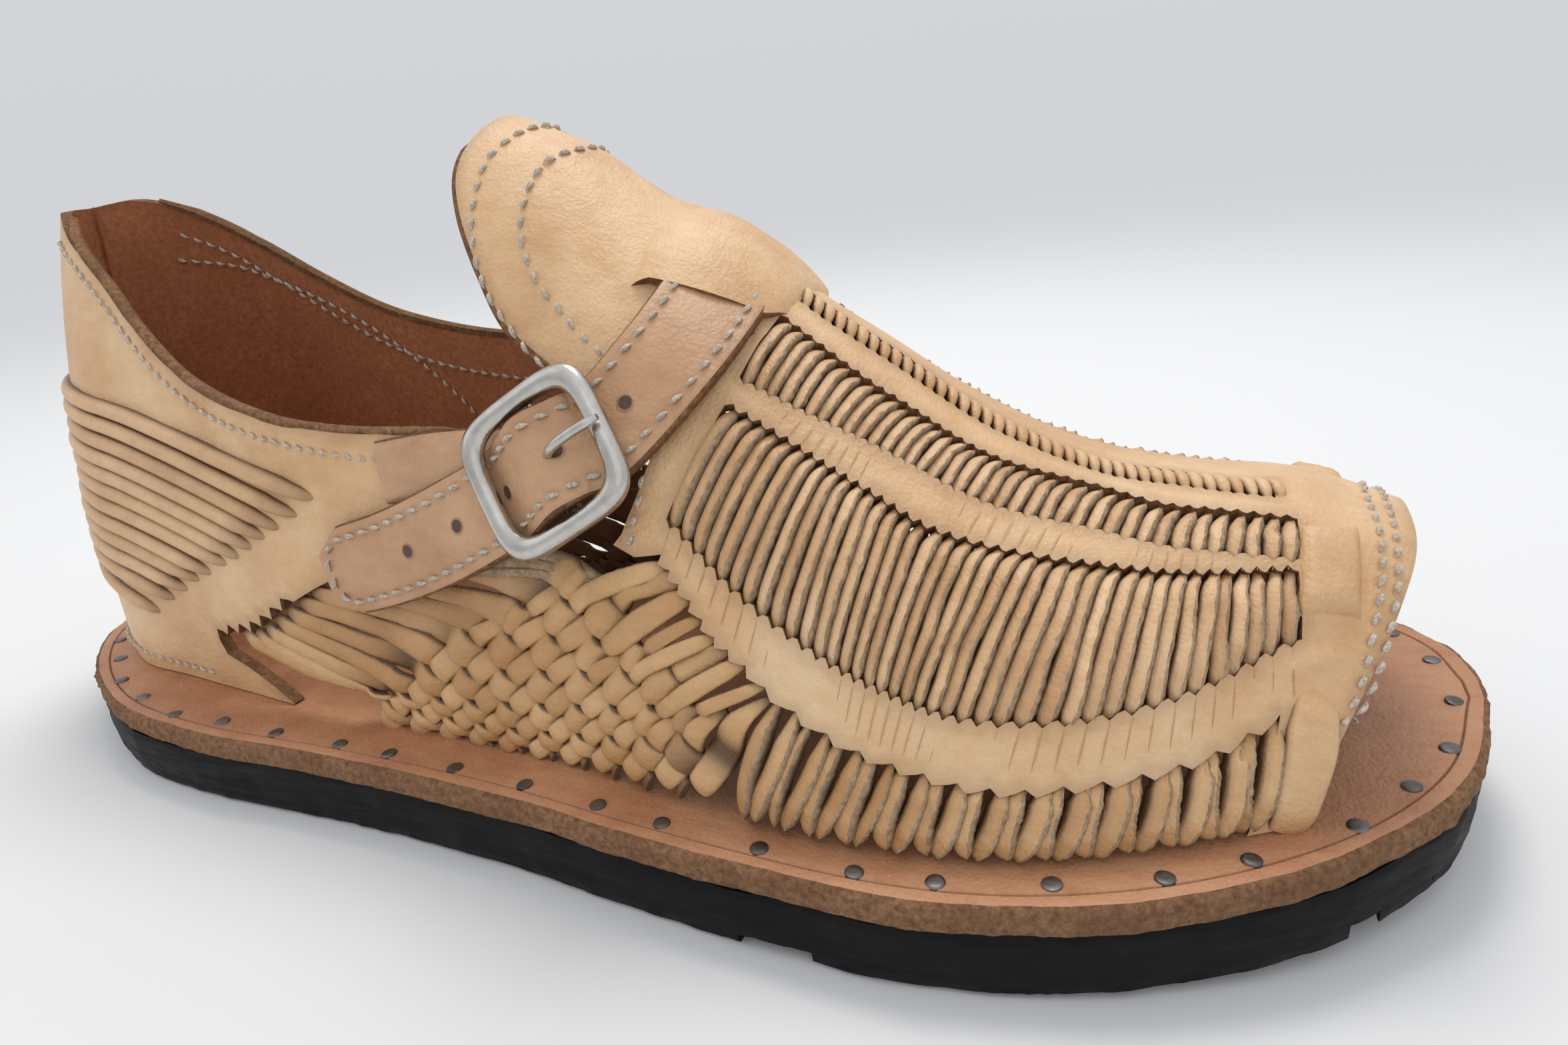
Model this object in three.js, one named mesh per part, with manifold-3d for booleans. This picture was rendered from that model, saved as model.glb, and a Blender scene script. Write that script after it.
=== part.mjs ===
// A man's huarache sandal for the right foot: a woven leather upper with an open toe and a long tongue,
// nailed to a flat leather footbed on an outsole cut from tyre rubber, and closed by a buckled strap.
// Millimetres. The shoe stands on z = 0. It is drawn with x from the back of the sole to the toe and
// -y on the outer side with the buckle, then each piece moves so that the origin is under the middle.
import * as THREE from "three";
import { mergeVertices } from "three/addons/utils/BufferGeometryUtils.js";
import Module from "manifold-3d";

const wasm = await Module();
wasm.setup();

// ---- driving sizes ----
const MIDDLE = { x: 149.25, y: -1.3 }; // middle of the sole's length and width
const GAP = 0.3; // clearance kept between two pieces that touch
const RUBBER = 10.4; // outsole thickness
const LEATHER = 4.4; // footbed thickness
const FOOTBED_TOP = RUBBER + GAP + LEATHER;
const TOE_SPRING = { from: 215, to: 299, rise: 5.5 }; // the sole lifts from x = from to the tip
const WALL = 2.4; // leather of the upper
const LINING = 1.6; // second leather under the tongue
const STRAP = { width: 16.5, thick: 2, tip: 7 };
const CHAPE = { width: 11, thick: 1.1 };
const BUCKLE = { along: 26.5, across: 25, wire: 3.4, thick: 3.1, bar: 1.2, prong: 0.8 };

// The sole's two edges, each from the back of the heel to the tip of the toe.
const SOLE_OUTER_EDGE = [
  { x: -0.5, y: -8 },
  { x: 4, y: -20 },
  { x: 13, y: -32 },
  { x: 28, y: -43 },
  { x: 50, y: -52 },
  { x: 77, y: -55 },
  { x: 112, y: -53.5 },
  { x: 148, y: -53.5 },
  { x: 183, y: -56 },
  { x: 218, y: -56.5 },
  { x: 240, y: -52.5 },
  { x: 262, y: -43 },
  { x: 281, y: -28.5 },
  { x: 293, y: -12 },
  { x: 299, y: 9 },
];
const SOLE_INNER_EDGE = [
  { x: -0.5, y: -4 },
  { x: 4, y: 9 },
  { x: 17, y: 24 },
  { x: 38, y: 34 },
  { x: 65, y: 37 },
  { x: 100, y: 36.5 },
  { x: 135, y: 38 },
  { x: 170, y: 44 },
  { x: 200, y: 50.5 },
  { x: 226, y: 54 },
  { x: 250, y: 53.5 },
  { x: 272, y: 49 },
  { x: 287, y: 40 },
  { x: 296, y: 28 },
  { x: 299, y: 15 },
];

// Sections of the last under the upper: where the wall meets the footbed on each side, the ridge
// between them, and how far the wall leans in above the foot (1 is an ellipse, more is narrower).
const SECTIONS = [
  { x: 46, outer: -37.5, inner: 27.5, ridgeY: -5, ridgeZ: 133, lean: 1.3 },
  { x: 72, outer: -39.5, inner: 28.5, ridgeY: -4, ridgeZ: 133, lean: 1.15 },
  { x: 100, outer: -41.5, inner: 29, ridgeY: -3, ridgeZ: 131, lean: 1.05 },
  { x: 128, outer: -41.5, inner: 30.5, ridgeY: -1, ridgeZ: 124, lean: 1 },
  { x: 148, outer: -42, inner: 32.5, ridgeY: 0, ridgeZ: 117, lean: 1 },
  { x: 162, outer: -43, inner: 34.5, ridgeY: 0.5, ridgeZ: 108, lean: 1 },
  { x: 180, outer: -46, inner: 37.5, ridgeY: 1, ridgeZ: 96, lean: 1 },
  { x: 203, outer: -48.5, inner: 42, ridgeY: 2, ridgeZ: 80, lean: 1.05 },
  { x: 224, outer: -47, inner: 45.5, ridgeY: 2.5, ridgeZ: 66.5, lean: 1 },
  { x: 240, outer: -43, inner: 45.5, ridgeY: 3, ridgeZ: 60, lean: 0.95 },
  { x: 255, outer: -36.5, inner: 43.5, ridgeY: 3.5, ridgeZ: 58, lean: 0.9 },
  { x: 270, outer: -28.5, inner: 39, ridgeY: 4, ridgeZ: 57, lean: 0.9 },
  { x: 288, outer: -23, inner: 33, ridgeY: 4, ridgeZ: 51, lean: 0.9 },
];
// Behind HEEL.x the wall closes in a half round, and its top leans forward.
const HEEL = { x: 46, depth: 36, forward: 9 };
const BRIDGE = { x: 179, y: 1, long: 15, wide: 17, rise: 3.6 }; // loop of the tongue over the strap

// Side view of the upper's rim, from the tip of the heel round the collar, down the side opening,
// and up the back edge of the tongue. Each run is one smooth curve.
const COLLAR_RUN = [
  [-20, 110],
  [10, 111.5],
  [24, 114],
  [45, 103],
  [60, 92],
  [76, 83],
  [97, 77.5],
  [118, 75.5],
  [140, 75.5],
];
const FRONT_CORNER_RUN = [
  [146, 74],
  [147, 71],
  [139, 61],
  [125, 51],
];
const WEAVE_RIM_RUN = [
  [128, 49],
  [143, 53.5],
  [157, 57.5],
  [169, 56.5],
];
const TONGUE_RUN = [
  [174, 62],
  [177.5, 70],
  [178, 75.5],
  [170, 80],
  [159.5, 85],
  [151, 91.5],
  [145, 99.5],
  [139, 109],
  [136.5, 116],
  [138, 124],
];
const RIM_TILT = 0.11; // the rim is this much higher per millimetre toward the inner side
const MOUTH_RUN = [
  [269, 12],
  [271.5, 20],
  [273.5, 29],
  [276.5, 37],
  [280, 45],
  [283, 52],
  [284, 60],
];

// How finely the curved pieces are divided.
const SOLE_RUNGS = 64;
const UPPER_STATIONS = 28; // along the upper in front of the heel's turn
const HEEL_STATIONS = 7;
const SECTION_STEPS = 28; // round each section of the upper
const WIRE_STEPS = 40; // round the buckle's frame
const SLEEVE_SIDES = 16;

// Places outside the sandal that cutters reach to.
const BEYOND = { side: 80, behind: -20, ahead: 320, above: 190, below: -5 };

// ---- curves and surfaces ----

// Value of one column of a table at x, by a smooth curve through its rows.
function along(rows, column, x) {
  const last = rows.length - 1;
  let i = 0;
  while (i < last - 1 && x > rows[i + 1].x) i++;
  const slope = (k) => {
    const a = rows[Math.max(0, k - 1)];
    const b = rows[Math.min(last, k + 1)];
    return (b[column] - a[column]) / (b.x - a.x);
  };
  const span = rows[i + 1].x - rows[i].x;
  const t = Math.min(1, Math.max(0, (x - rows[i].x) / span));
  const s = 1 - t;
  return (
    rows[i][column] * s * s * (1 + 2 * t) +
    rows[i + 1][column] * t * t * (1 + 2 * s) +
    span * s * t * (slope(i) * s - slope(i + 1) * t)
  );
}

// How far the toe spring lifts the sole at x.
function lift(x) {
  const t = Math.max(0, (x - TOE_SPRING.from) / (TOE_SPRING.to - TOE_SPRING.from));
  return TOE_SPRING.rise * t * t;
}

// A smooth bump, 1 at the middle and 0 at the half length.
function hump(distance, half) {
  const t = Math.min(1, Math.abs(distance) / half);
  return Math.cos((t * Math.PI) / 2) ** 2;
}

// Point of the upper's outer face moved inward by inset. turn runs over the section from 0 at the
// outer foot, past 0.5 on the ridge, to 1 at the inner foot. raised is 1 with the strap's bridge.
function upperPoint(x, turn, inset = 0, raised = 1) {
  const at = Math.max(HEEL.x, x);
  const ridgeY = along(SECTIONS, "ridgeY", at);
  const foot = FOOTBED_TOP + GAP + lift(x);
  const back = Math.max(0, HEEL.x - x) / (HEEL.depth - inset);
  const round = Math.sqrt(Math.max(0, 1 - back * back));
  const edge = along(SECTIONS, turn < 0.5 ? "outer" : "inner", at) - ridgeY;
  const half = (Math.abs(edge) - inset) * round;
  const angle = Math.PI * turn;
  const out = Math.abs(Math.cos(angle)) ** along(SECTIONS, "lean", at);
  const up = Math.sin(angle);
  const y = ridgeY + half * out * Math.sign(edge);
  const bump = BRIDGE.rise * hump(x - BRIDGE.x, BRIDGE.long) * hump(y - BRIDGE.y, BRIDGE.wide);
  const rise = (along(SECTIONS, "ridgeZ", at) - foot - inset) * up;
  return new THREE.Vector3(x + HEEL.forward * back * up * up, y, foot + rise + raised * bump);
}

// The turn at which the upper's outer face reaches height z on one side.
function turnAt(x, z, side) {
  const at = Math.max(HEEL.x, x);
  const foot = FOOTBED_TOP + GAP + lift(x);
  const share = Math.min(1, (z - foot) / (along(SECTIONS, "ridgeZ", at) - foot));
  const turn = Math.asin(share) / Math.PI;
  return side < 0 ? turn : 1 - turn;
}

// Point at a distance out from the upper's outer face, and the face's outward normal there.
function offUpper(x, z, side, out) {
  const turn = side === 0 ? 0.5 : turnAt(x, z, side);
  const at = (dx, dt) => upperPoint(x + dx, turn + dt, 0, 0);
  const forward = at(1, 0).sub(at(-1, 0));
  const across = at(0, 0.02).sub(at(0, -0.02));
  const normal = forward.cross(across).normalize();
  return { point: at(0, 0).addScaledVector(normal, out), normal };
}

// ---- solids ----

function toSolid(geometry) {
  const plain = geometry.index ? geometry.toNonIndexed() : geometry.clone();
  plain.deleteAttribute("normal");
  plain.deleteAttribute("uv");
  const merged = mergeVertices(plain, 1e-4);
  const mesh = new wasm.Mesh({
    numProp: 3,
    vertProperties: Float32Array.from(merged.attributes.position.array),
    triVerts: Uint32Array.from(merged.index.array),
  });
  return new wasm.Manifold(mesh);
}

function toGeometry(solid) {
  const mesh = solid.getMesh();
  const geometry = new THREE.BufferGeometry();
  geometry.setAttribute("position", new THREE.BufferAttribute(mesh.vertProperties.slice(), 3));
  geometry.setIndex(new THREE.BufferAttribute(mesh.triVerts.slice(), 1));
  return geometry;
}

// Closed solid through a row of loops with the same number of points. It faces out when the row runs
// toward +x and each loop goes from -y over the top to +y. A ring joins its last loop to its first.
function loft(loops, ring = false) {
  const count = loops[0].length;
  const points = loops.flat();
  const faces = [];
  const add = (a, b, c) => faces.push(a, c, b);
  for (let k = 0; k < loops.length - (ring ? 0 : 1); k++) {
    const here = k * count;
    const next = ((k + 1) % loops.length) * count;
    for (let i = 0; i < count; i++) {
      const j = (i + 1) % count;
      add(here + i, here + j, next + i);
      add(here + j, next + j, next + i);
    }
  }
  if (!ring) {
    const sumOf = (loop) => loop.reduce((sum, p) => sum.add(p), new THREE.Vector3());
    const middle = (loop) => sumOf(loop).divideScalar(count);
    const first = points.length;
    const end = (loops.length - 1) * count;
    points.push(middle(loops[0]), middle(loops.at(-1)));
    for (let i = 0; i < count; i++) {
      const j = (i + 1) % count;
      add(first, j, i);
      add(first + 1, end + i, end + j);
    }
  }
  const geometry = new THREE.BufferGeometry();
  const numbers = points.flatMap((p) => p.toArray());
  geometry.setAttribute("position", new THREE.Float32BufferAttribute(numbers, 3));
  geometry.setIndex(faces);
  return toSolid(geometry);
}

function edgeCurve(edge) {
  const points = edge.map((p) => new THREE.Vector3(p.x, p.y, 0));
  return new THREE.CatmullRomCurve3(points, false, "centripetal");
}

// Slab of the sole between two heights that follow the toe spring. Its rungs run from edge to edge.
function soleSlab(low, high) {
  const outer = edgeCurve(SOLE_OUTER_EDGE);
  const inner = edgeCurve(SOLE_INNER_EDGE);
  const loops = [];
  for (let i = 0; i <= SOLE_RUNGS; i++) {
    const a = outer.getPointAt(i / SOLE_RUNGS);
    const b = inner.getPointAt(i / SOLE_RUNGS);
    const corner = (p, z) => new THREE.Vector3(p.x, p.y, z + lift(p.x));
    loops.push([corner(a, low), corner(a, high), corner(b, high), corner(b, low)]);
  }
  return loft(loops);
}

// Closed box between two corners.
function box(from, to) {
  const size = new THREE.Vector3().subVectors(to, from);
  const middle = new THREE.Vector3().addVectors(from, to).multiplyScalar(0.5);
  return toSolid(new THREE.BoxGeometry(size.x, size.y, size.z).translate(middle.x, middle.y, middle.z));
}

// Stations along the upper, closer together where the heel turns.
function stations(inset, front) {
  const list = [];
  for (let i = 0; i < HEEL_STATIONS; i++) {
    const angle = (Math.PI / 2) * ((i + 0.12) / HEEL_STATIONS); // a little past the back, where it closes
    list.push(HEEL.x - (HEEL.depth - inset) * Math.cos(angle));
  }
  const step = (front - HEEL.x) / UPPER_STATIONS;
  for (let i = 0; i <= UPPER_STATIONS; i++) list.push(HEEL.x + step * i);
  return list;
}

// Solid form of the upper's own shape moved inward by inset. Its underside lies drop below the foot.
function upperForm(inset, front, drop, raised = 1) {
  const loops = stations(inset, front).map((x) => {
    const loop = [];
    for (let i = 0; i <= SECTION_STEPS; i++) {
      loop.push(upperPoint(x, i / SECTION_STEPS, inset, raised));
    }
    if (drop > 0) {
      const inner = loop.at(-1).clone();
      const outer = loop[0].clone();
      inner.z -= drop;
      outer.z -= drop;
      loop.push(inner, outer);
    }
    return loop;
  });
  return loft(loops);
}

// Prism across the whole shoe from a side-view outline [x, z], sheared by tilt.
function sidePrism(outline, tilt = 0) {
  const shape = new THREE.Shape(outline.map(([x, z]) => new THREE.Vector2(x, z)));
  const prism = new THREE.ExtrudeGeometry(shape, { depth: 2 * BEYOND.side, bevelEnabled: false });
  prism.rotateX(Math.PI / 2).translate(0, BEYOND.side, 0);
  return toSolid(prism).warp((v) => {
    v[2] += tilt * v[1];
  });
}

// Points of a smooth curve through a run of side-view points.
function smooth(run, each = 3) {
  const curve = new THREE.SplineCurve(run.map(([x, z]) => new THREE.Vector2(x, z)));
  return curve.getPoints((run.length - 1) * each).map((p) => [p.x, p.y]);
}

function rimCutter() {
  const runs = [COLLAR_RUN, FRONT_CORNER_RUN, WEAVE_RIM_RUN, TONGUE_RUN];
  const rim = runs.flatMap((run) => smooth(run));
  const over = [
    [TONGUE_RUN.at(-1)[0], BEYOND.above],
    [BEYOND.behind, BEYOND.above],
  ];
  return sidePrism([...rim, ...over].reverse(), RIM_TILT);
}

function mouthCutter() {
  const { ahead, above, below } = BEYOND;
  const under = [268, below];
  const over = [287, above];
  return sidePrism([under, ...smooth(MOUTH_RUN), over, [ahead, above], [ahead, below]].reverse());
}

// ---- strap and buckle ----

// Stations of a strap: x and height on one side's face of the upper (side 0 is the ridge), and the
// distance of its middle layer from that face.
const STRAP_START = [
  { x: 114, z: 67, side: 1, out: 1.3 },
  { x: 131, z: 70, side: 1, out: 1.3 },
  { x: 148, z: 76, side: 1, out: 1.3 },
  { x: 162, z: 85.5, side: 1, out: 1.3 },
  { x: 173, z: 94.5, side: 1, out: 0.9 },
  { x: 180, z: 96, side: 0, out: -0.2 },
  { x: 182, z: 89.5, side: -1, out: 0.9 },
  { x: 179, z: 81, side: -1, out: 2.6 },
];
const BUCKLE_AT = { x: 163.5, z: 67.5, toward: { x: 144.5, z: 56 } };
// Beside the buckle the strap is placed in the buckle's own frame: t along the strap, n outward.
const STRAP_IN_BUCKLE = [
  { t: -9, n: 3.2 },
  { t: -5, n: 5.6 },
  { t: 0, n: 7.6 },
  { t: 5, n: 5.6 },
  { t: 10, n: 3.1 },
  { t: 14, n: 3.2 },
];
const STRAP_END = [
  { x: 139, z: 55, side: -1, out: 2.9 },
  { x: 127, z: 50.5, side: -1, out: 2.2 },
  { x: 111, z: 46, side: -1, out: 1.4 },
];
const CHAPE_LINE = [
  { x: 126, z: 65, side: -1, out: 0.85 },
  { x: 139, z: 67, side: -1, out: 0.85 },
  { x: 152, z: 67.5, side: -1, out: 0.85 },
];
const PRONG_LINE = [
  { t: 0, n: 5.4 },
  { t: -2, n: 7.3 },
  { t: -5, n: 9.5 },
  { t: -9, n: 9.8 },
  { t: -13.5, n: 9 },
];

// The buckle's own frame on the upper: its middle, the strap's direction, across it, and outward.
function buckleFrame() {
  const { point, normal } = offUpper(BUCKLE_AT.x, BUCKLE_AT.z, -1, 0);
  const ahead = offUpper(BUCKLE_AT.toward.x, BUCKLE_AT.toward.z, -1, 0).point.sub(point);
  const t = ahead.addScaledVector(normal, -ahead.dot(normal)).normalize();
  const a = t.clone().cross(normal);
  return { middle: point, t, a, n: normal };
}

const BUCKLE_FRAME = buckleFrame();

function inBuckle(t, a, n) {
  const f = BUCKLE_FRAME;
  return f.middle.clone().addScaledVector(f.t, t).addScaledVector(f.a, a).addScaledVector(f.n, n);
}

// Flat strap through stations, each a point and an outward normal. widthAt gives the width at a
// distance from the strap's end.
function ribbon(stops, widthAt, thick, each = 3) {
  const curve = new THREE.CatmullRomCurve3(stops.map((s) => s.point), false, "centripetal");
  const steps = (stops.length - 1) * each;
  const length = curve.getLength();
  const loops = [];
  for (let i = 0; i <= steps; i++) {
    const share = i / each;
    const k = Math.min(stops.length - 2, Math.floor(share));
    const normal = stops[k].normal.clone().lerp(stops[k + 1].normal, share - k);
    const u = i / steps;
    const point = curve.getPoint(u);
    const tangent = curve.getTangent(u);
    const done = curve.getLengths(200)[Math.round(u * 200)];
    const across = tangent.clone().cross(normal).normalize();
    const up = across.clone().cross(tangent).normalize();
    const half = widthAt(length - done) / 2;
    const corner = (a, n) => point.clone().addScaledVector(across, a).addScaledVector(up, n);
    const n = thick / 2;
    loops.push([corner(half, -n), corner(half, n), corner(-half, n), corner(-half, -n)]);
  }
  return loft(loops);
}

function strapStops() {
  const onUpper = (s) => offUpper(s.x, s.z, s.side, s.out);
  const onBuckle = (s) => ({ point: inBuckle(s.t, 0, s.n), normal: BUCKLE_FRAME.n });
  return [...STRAP_START.map(onUpper), ...STRAP_IN_BUCKLE.map(onBuckle), ...STRAP_END.map(onUpper)];
}

// The strap with a blunt point at its free end. grow widens it all round, to cut its way.
function strapForm(grow) {
  const widthAt = (left) => 2 * grow + STRAP.width * Math.min(1, 0.5 + (0.5 * left) / STRAP.tip);
  return ribbon(strapStops(), widthAt, STRAP.thick + 2 * grow);
}

// Round bar between two places, with the given radius.
function bar(from, to, radius, sides = 12) {
  const axis = new THREE.Vector3().subVectors(to, from);
  const rodAxis = new THREE.Vector3(0, 1, 0);
  const turn = new THREE.Quaternion().setFromUnitVectors(rodAxis, axis.clone().normalize());
  const rod = new THREE.CylinderGeometry(radius, radius, axis.length(), sides);
  rod.applyQuaternion(turn);
  rod.translate(...from.clone().add(to).multiplyScalar(0.5).toArray());
  return toSolid(rod);
}

const BAR_HEIGHT = 3.7; // centre bar's axis above the upper
const FRAME_HEIGHT = 6.2; // middle of the frame's wire above the upper

function buckleWire() {
  const corner = 3.6; // higher is squarer
  const sides = 8;
  const loops = [];
  for (let i = 0; i < WIRE_STEPS; i++) {
    const angle = (-2 * Math.PI * i) / WIRE_STEPS;
    const round = (v) => Math.sign(v) * Math.abs(v) ** (2 / corner);
    const t = round(Math.cos(angle));
    const a = round(Math.sin(angle));
    const loop = [];
    for (let k = 0; k < sides; k++) {
      const turn = (2 * Math.PI * (k + 0.5)) / sides;
      const inward = (BUCKLE.wire / 2) * (1 - Math.cos(turn));
      loop.push(
        inBuckle(
          t * (BUCKLE.along / 2 - inward),
          a * (BUCKLE.across / 2 - inward),
          FRAME_HEIGHT + (BUCKLE.thick / 2) * Math.sin(turn),
        ),
      );
    }
    loops.push(loop);
  }
  const reach = BUCKLE.across / 2 - BUCKLE.wire / 2;
  const centreBar = bar(inBuckle(0, -reach, BAR_HEIGHT), inBuckle(0, reach, BAR_HEIGHT), BUCKLE.bar);
  return loft(loops, true).add(centreBar);
}

const LOOP_INSIDE = BUCKLE.bar + GAP; // radius inside the loops that hold the centre bar
const PRONG_EYE = 2; // width of the prong's eye along the centre bar
const PRONG_EYE_WALL = 0.8;

// Sleeve round the centre bar, between two places across the buckle.
function barSleeve(from, to, outside) {
  const onAxis = (a) => inBuckle(0, a, BAR_HEIGHT);
  const solid = bar(onAxis(from), onAxis(to), outside, SLEEVE_SIDES);
  const bore = bar(onAxis(from - 1), onAxis(to + 1), LOOP_INSIDE, SLEEVE_SIDES);
  return { solid, bore };
}

function chapeForm() {
  const stops = CHAPE_LINE.map((s) => offUpper(s.x, s.z, s.side, s.out));
  stops.push({ point: inBuckle(0, 0, BAR_HEIGHT - LOOP_INSIDE - CHAPE.thick / 2), normal: BUCKLE_FRAME.n });
  const tail = ribbon(stops, () => CHAPE.width, CHAPE.thick);
  const sleeve = barSleeve(-CHAPE.width / 2, CHAPE.width / 2, LOOP_INSIDE + CHAPE.thick);
  const slot = barSleeve(-PRONG_EYE / 2 - GAP, PRONG_EYE / 2 + GAP, LOOP_INSIDE + CHAPE.thick + 1);
  return tail.add(sleeve.solid).subtract(sleeve.bore).subtract(slot.solid);
}

// Round rod along the prong's bent line.
function prongRod(radius) {
  const points = PRONG_LINE.map((p) => inBuckle(p.t, 0, p.n));
  const path = new THREE.CatmullRomCurve3(points, false, "centripetal");
  const round = new THREE.Shape().absarc(0, 0, radius, 0, 2 * Math.PI);
  const options = { steps: 12, curveSegments: 5, bevelEnabled: false, extrudePath: path };
  return toSolid(new THREE.ExtrudeGeometry(round, options));
}

function prongForm() {
  const eye = barSleeve(-PRONG_EYE / 2, PRONG_EYE / 2, LOOP_INSIDE + PRONG_EYE_WALL);
  return prongRod(BUCKLE.prong).add(eye.solid).subtract(eye.bore);
}

// ---- outsole, upper and lining ----

const GROOVE = { wide: 5, deep: 3.2, sides: [-20, 14] }; // the tyre's two long grooves
const EDGE_NOTCH = { x: 196, long: 12, deep: 2.4, reach: -52 }; // nick in the lower outer edge at the ball
const TOE_CUTS = [
  { x: 277, long: 4 },
  { x: 288, long: 4 },
];

function outsoleForm() {
  const v = (x, y, z) => new THREE.Vector3(x, y, z);
  let rubber = soleSlab(0, RUBBER);
  const { side, behind, ahead, below } = BEYOND;
  for (const y of GROOVE.sides) {
    const half = GROOVE.wide / 2;
    rubber = rubber.subtract(box(v(behind, y - half, below), v(ahead, y + half, GROOVE.deep)));
  }
  const notchEnd = EDGE_NOTCH.x + EDGE_NOTCH.long;
  const notch = box(v(EDGE_NOTCH.x, -side, below), v(notchEnd, EDGE_NOTCH.reach, EDGE_NOTCH.deep));
  rubber = rubber.subtract(notch);
  for (const cut of TOE_CUTS) {
    const depth = GROOVE.deep + lift(cut.x);
    const end = cut.x + cut.long;
    rubber = rubber.subtract(box(v(cut.x, -side, below), v(end, GROOVE.sides[0], depth)));
    rubber = rubber.subtract(box(v(cut.x, GROOVE.sides[1], below), v(end, side, depth)));
  }
  return rubber;
}

const UPPER_FRONT = 288; // the loft runs past the mouth, which the mouth's edge then cuts
const PAST = 6; // how far a hollow runs out of the form it is cut from, in front and below

function upperWall() {
  const hollow = upperForm(WALL, UPPER_FRONT + PAST, PAST);
  return upperForm(0, UPPER_FRONT, 0)
    .subtract(hollow)
    .subtract(rimCutter())
    .subtract(mouthCutter())
    .subtract(strapForm(GAP));
}

// Second leather under the tongue, as far forward as the bridge.
function tongueLining() {
  const inset = WALL + GAP;
  const hollow = upperForm(inset + LINING, UPPER_FRONT + PAST, PAST, 0);
  const shell = upperForm(inset, UPPER_FRONT, 0, 0).subtract(hollow);
  const patch = sidePrism([
    [120, 150],
    [120, 105],
    [152, 80],
    [172, 73],
    [194, 84],
    [194, 150],
  ]);
  return shell.intersect(patch).subtract(rimCutter());
}

// ---- the sandal ----

const sandal = new THREE.Group();

function addPiece(name, solid, colour, roughness, metalness = 0) {
  const material = new THREE.MeshStandardMaterial({ color: colour, roughness, metalness });
  const mesh = new THREE.Mesh(toGeometry(solid), material);
  mesh.name = name;
  mesh.position.set(-MIDDLE.x, -MIDDLE.y, 0);
  sandal.add(mesh);
}

const COLOURS = {
  rubber: 0x1d1d1f,
  footbed: 0xc9966b,
  leather: 0xd2ab7c,
  strap: 0xcfa27a,
  nickel: 0xb9b7b1,
};

addPiece("outsole", outsoleForm(), COLOURS.rubber, 0.85);
addPiece("footbed", soleSlab(RUBBER + GAP, FOOTBED_TOP), COLOURS.footbed, 0.7);
addPiece("upper", upperWall(), COLOURS.leather, 0.6);
addPiece("tongue_lining", tongueLining(), COLOURS.leather, 0.75);
addPiece("instep_strap", strapForm(0).subtract(prongRod(BUCKLE.prong + GAP)), COLOURS.strap, 0.55);
addPiece("buckle_chape", chapeForm(), COLOURS.strap, 0.6);
addPiece("buckle_frame", buckleWire(), COLOURS.nickel, 0.3, 1);
addPiece("buckle_prong", prongForm(), COLOURS.nickel, 0.3, 1);

export default sandal;
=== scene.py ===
# The look of the right-foot huarache sandal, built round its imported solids.
# Sizes are in millimetres and turned to metres when a mesh is made. x runs from heel to toe, -y is
# the outer side with the buckle, +y the inner side, and the shoe stands on z = 0.
import math

import bpy
import numpy as np
from mathutils import Matrix, Vector
from mathutils.kdtree import KDTree


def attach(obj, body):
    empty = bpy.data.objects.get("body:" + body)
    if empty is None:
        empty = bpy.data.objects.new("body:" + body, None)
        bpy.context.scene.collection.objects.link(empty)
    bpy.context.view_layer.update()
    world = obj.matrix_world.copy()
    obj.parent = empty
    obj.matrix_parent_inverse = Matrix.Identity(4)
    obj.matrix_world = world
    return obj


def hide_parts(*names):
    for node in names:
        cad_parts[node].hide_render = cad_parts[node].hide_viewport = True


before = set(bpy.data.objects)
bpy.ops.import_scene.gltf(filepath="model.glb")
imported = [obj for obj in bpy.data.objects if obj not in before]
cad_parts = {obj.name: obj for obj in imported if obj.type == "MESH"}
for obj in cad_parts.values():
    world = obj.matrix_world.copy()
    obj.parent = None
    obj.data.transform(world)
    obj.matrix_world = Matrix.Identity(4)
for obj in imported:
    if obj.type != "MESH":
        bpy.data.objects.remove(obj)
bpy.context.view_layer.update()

MM = 0.001
OUTER, INNER = -1, 1  # the two sides of the shoe
MIDDLE = (149.25, -1.3, 0)  # middle of the sole, where the origin is; pieces are drawn from the heel's back

# ---- the sandal's own sizes ----
GAP = 0.3
RUBBER = 10.4
LEATHER = 4.4
FOOTBED_TOP = RUBBER + GAP + LEATHER
TOE_SPRING = {"start": 215, "end": 299, "rise": 5.5}
WALL = 2.4
HEEL = {"x": 46, "depth": 36, "forward": 9}
BRIDGE = {"x": 179, "y": 1, "long": 15, "wide": 17, "rise": 3.6}
UPPER_FRONT = 288
BEYOND = {"side": 80, "above": 190, "ahead": 320, "below": -5}  # how far the cutting forms reach


def table(columns, rows):
    """Named columns of a table of numbers."""
    return dict(zip(columns.split(), np.array(rows, float).T))


SECTIONS = table(
    "x outer inner ridge_y ridge_z lean",
    [
        (46, -37.5, 27.5, -5, 133, 1.3),
        (72, -39.5, 28.5, -4, 133, 1.15),
        (100, -41.5, 29, -3, 131, 1.05),
        (128, -41.5, 30.5, -1, 124, 1),
        (148, -42, 32.5, 0, 117, 1),
        (162, -43, 34.5, 0.5, 108, 1),
        (180, -46, 37.5, 1, 96, 1),
        (203, -48.5, 42, 2, 80, 1.05),
        (224, -47, 45.5, 2.5, 66.5, 1),
        (240, -43, 45.5, 3, 60, 0.95),
        (255, -36.5, 43.5, 3.5, 58, 0.9),
        (270, -28.5, 39, 4, 57, 0.9),
        (288, -23, 33, 4, 51, 0.9),
    ],
)
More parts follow.
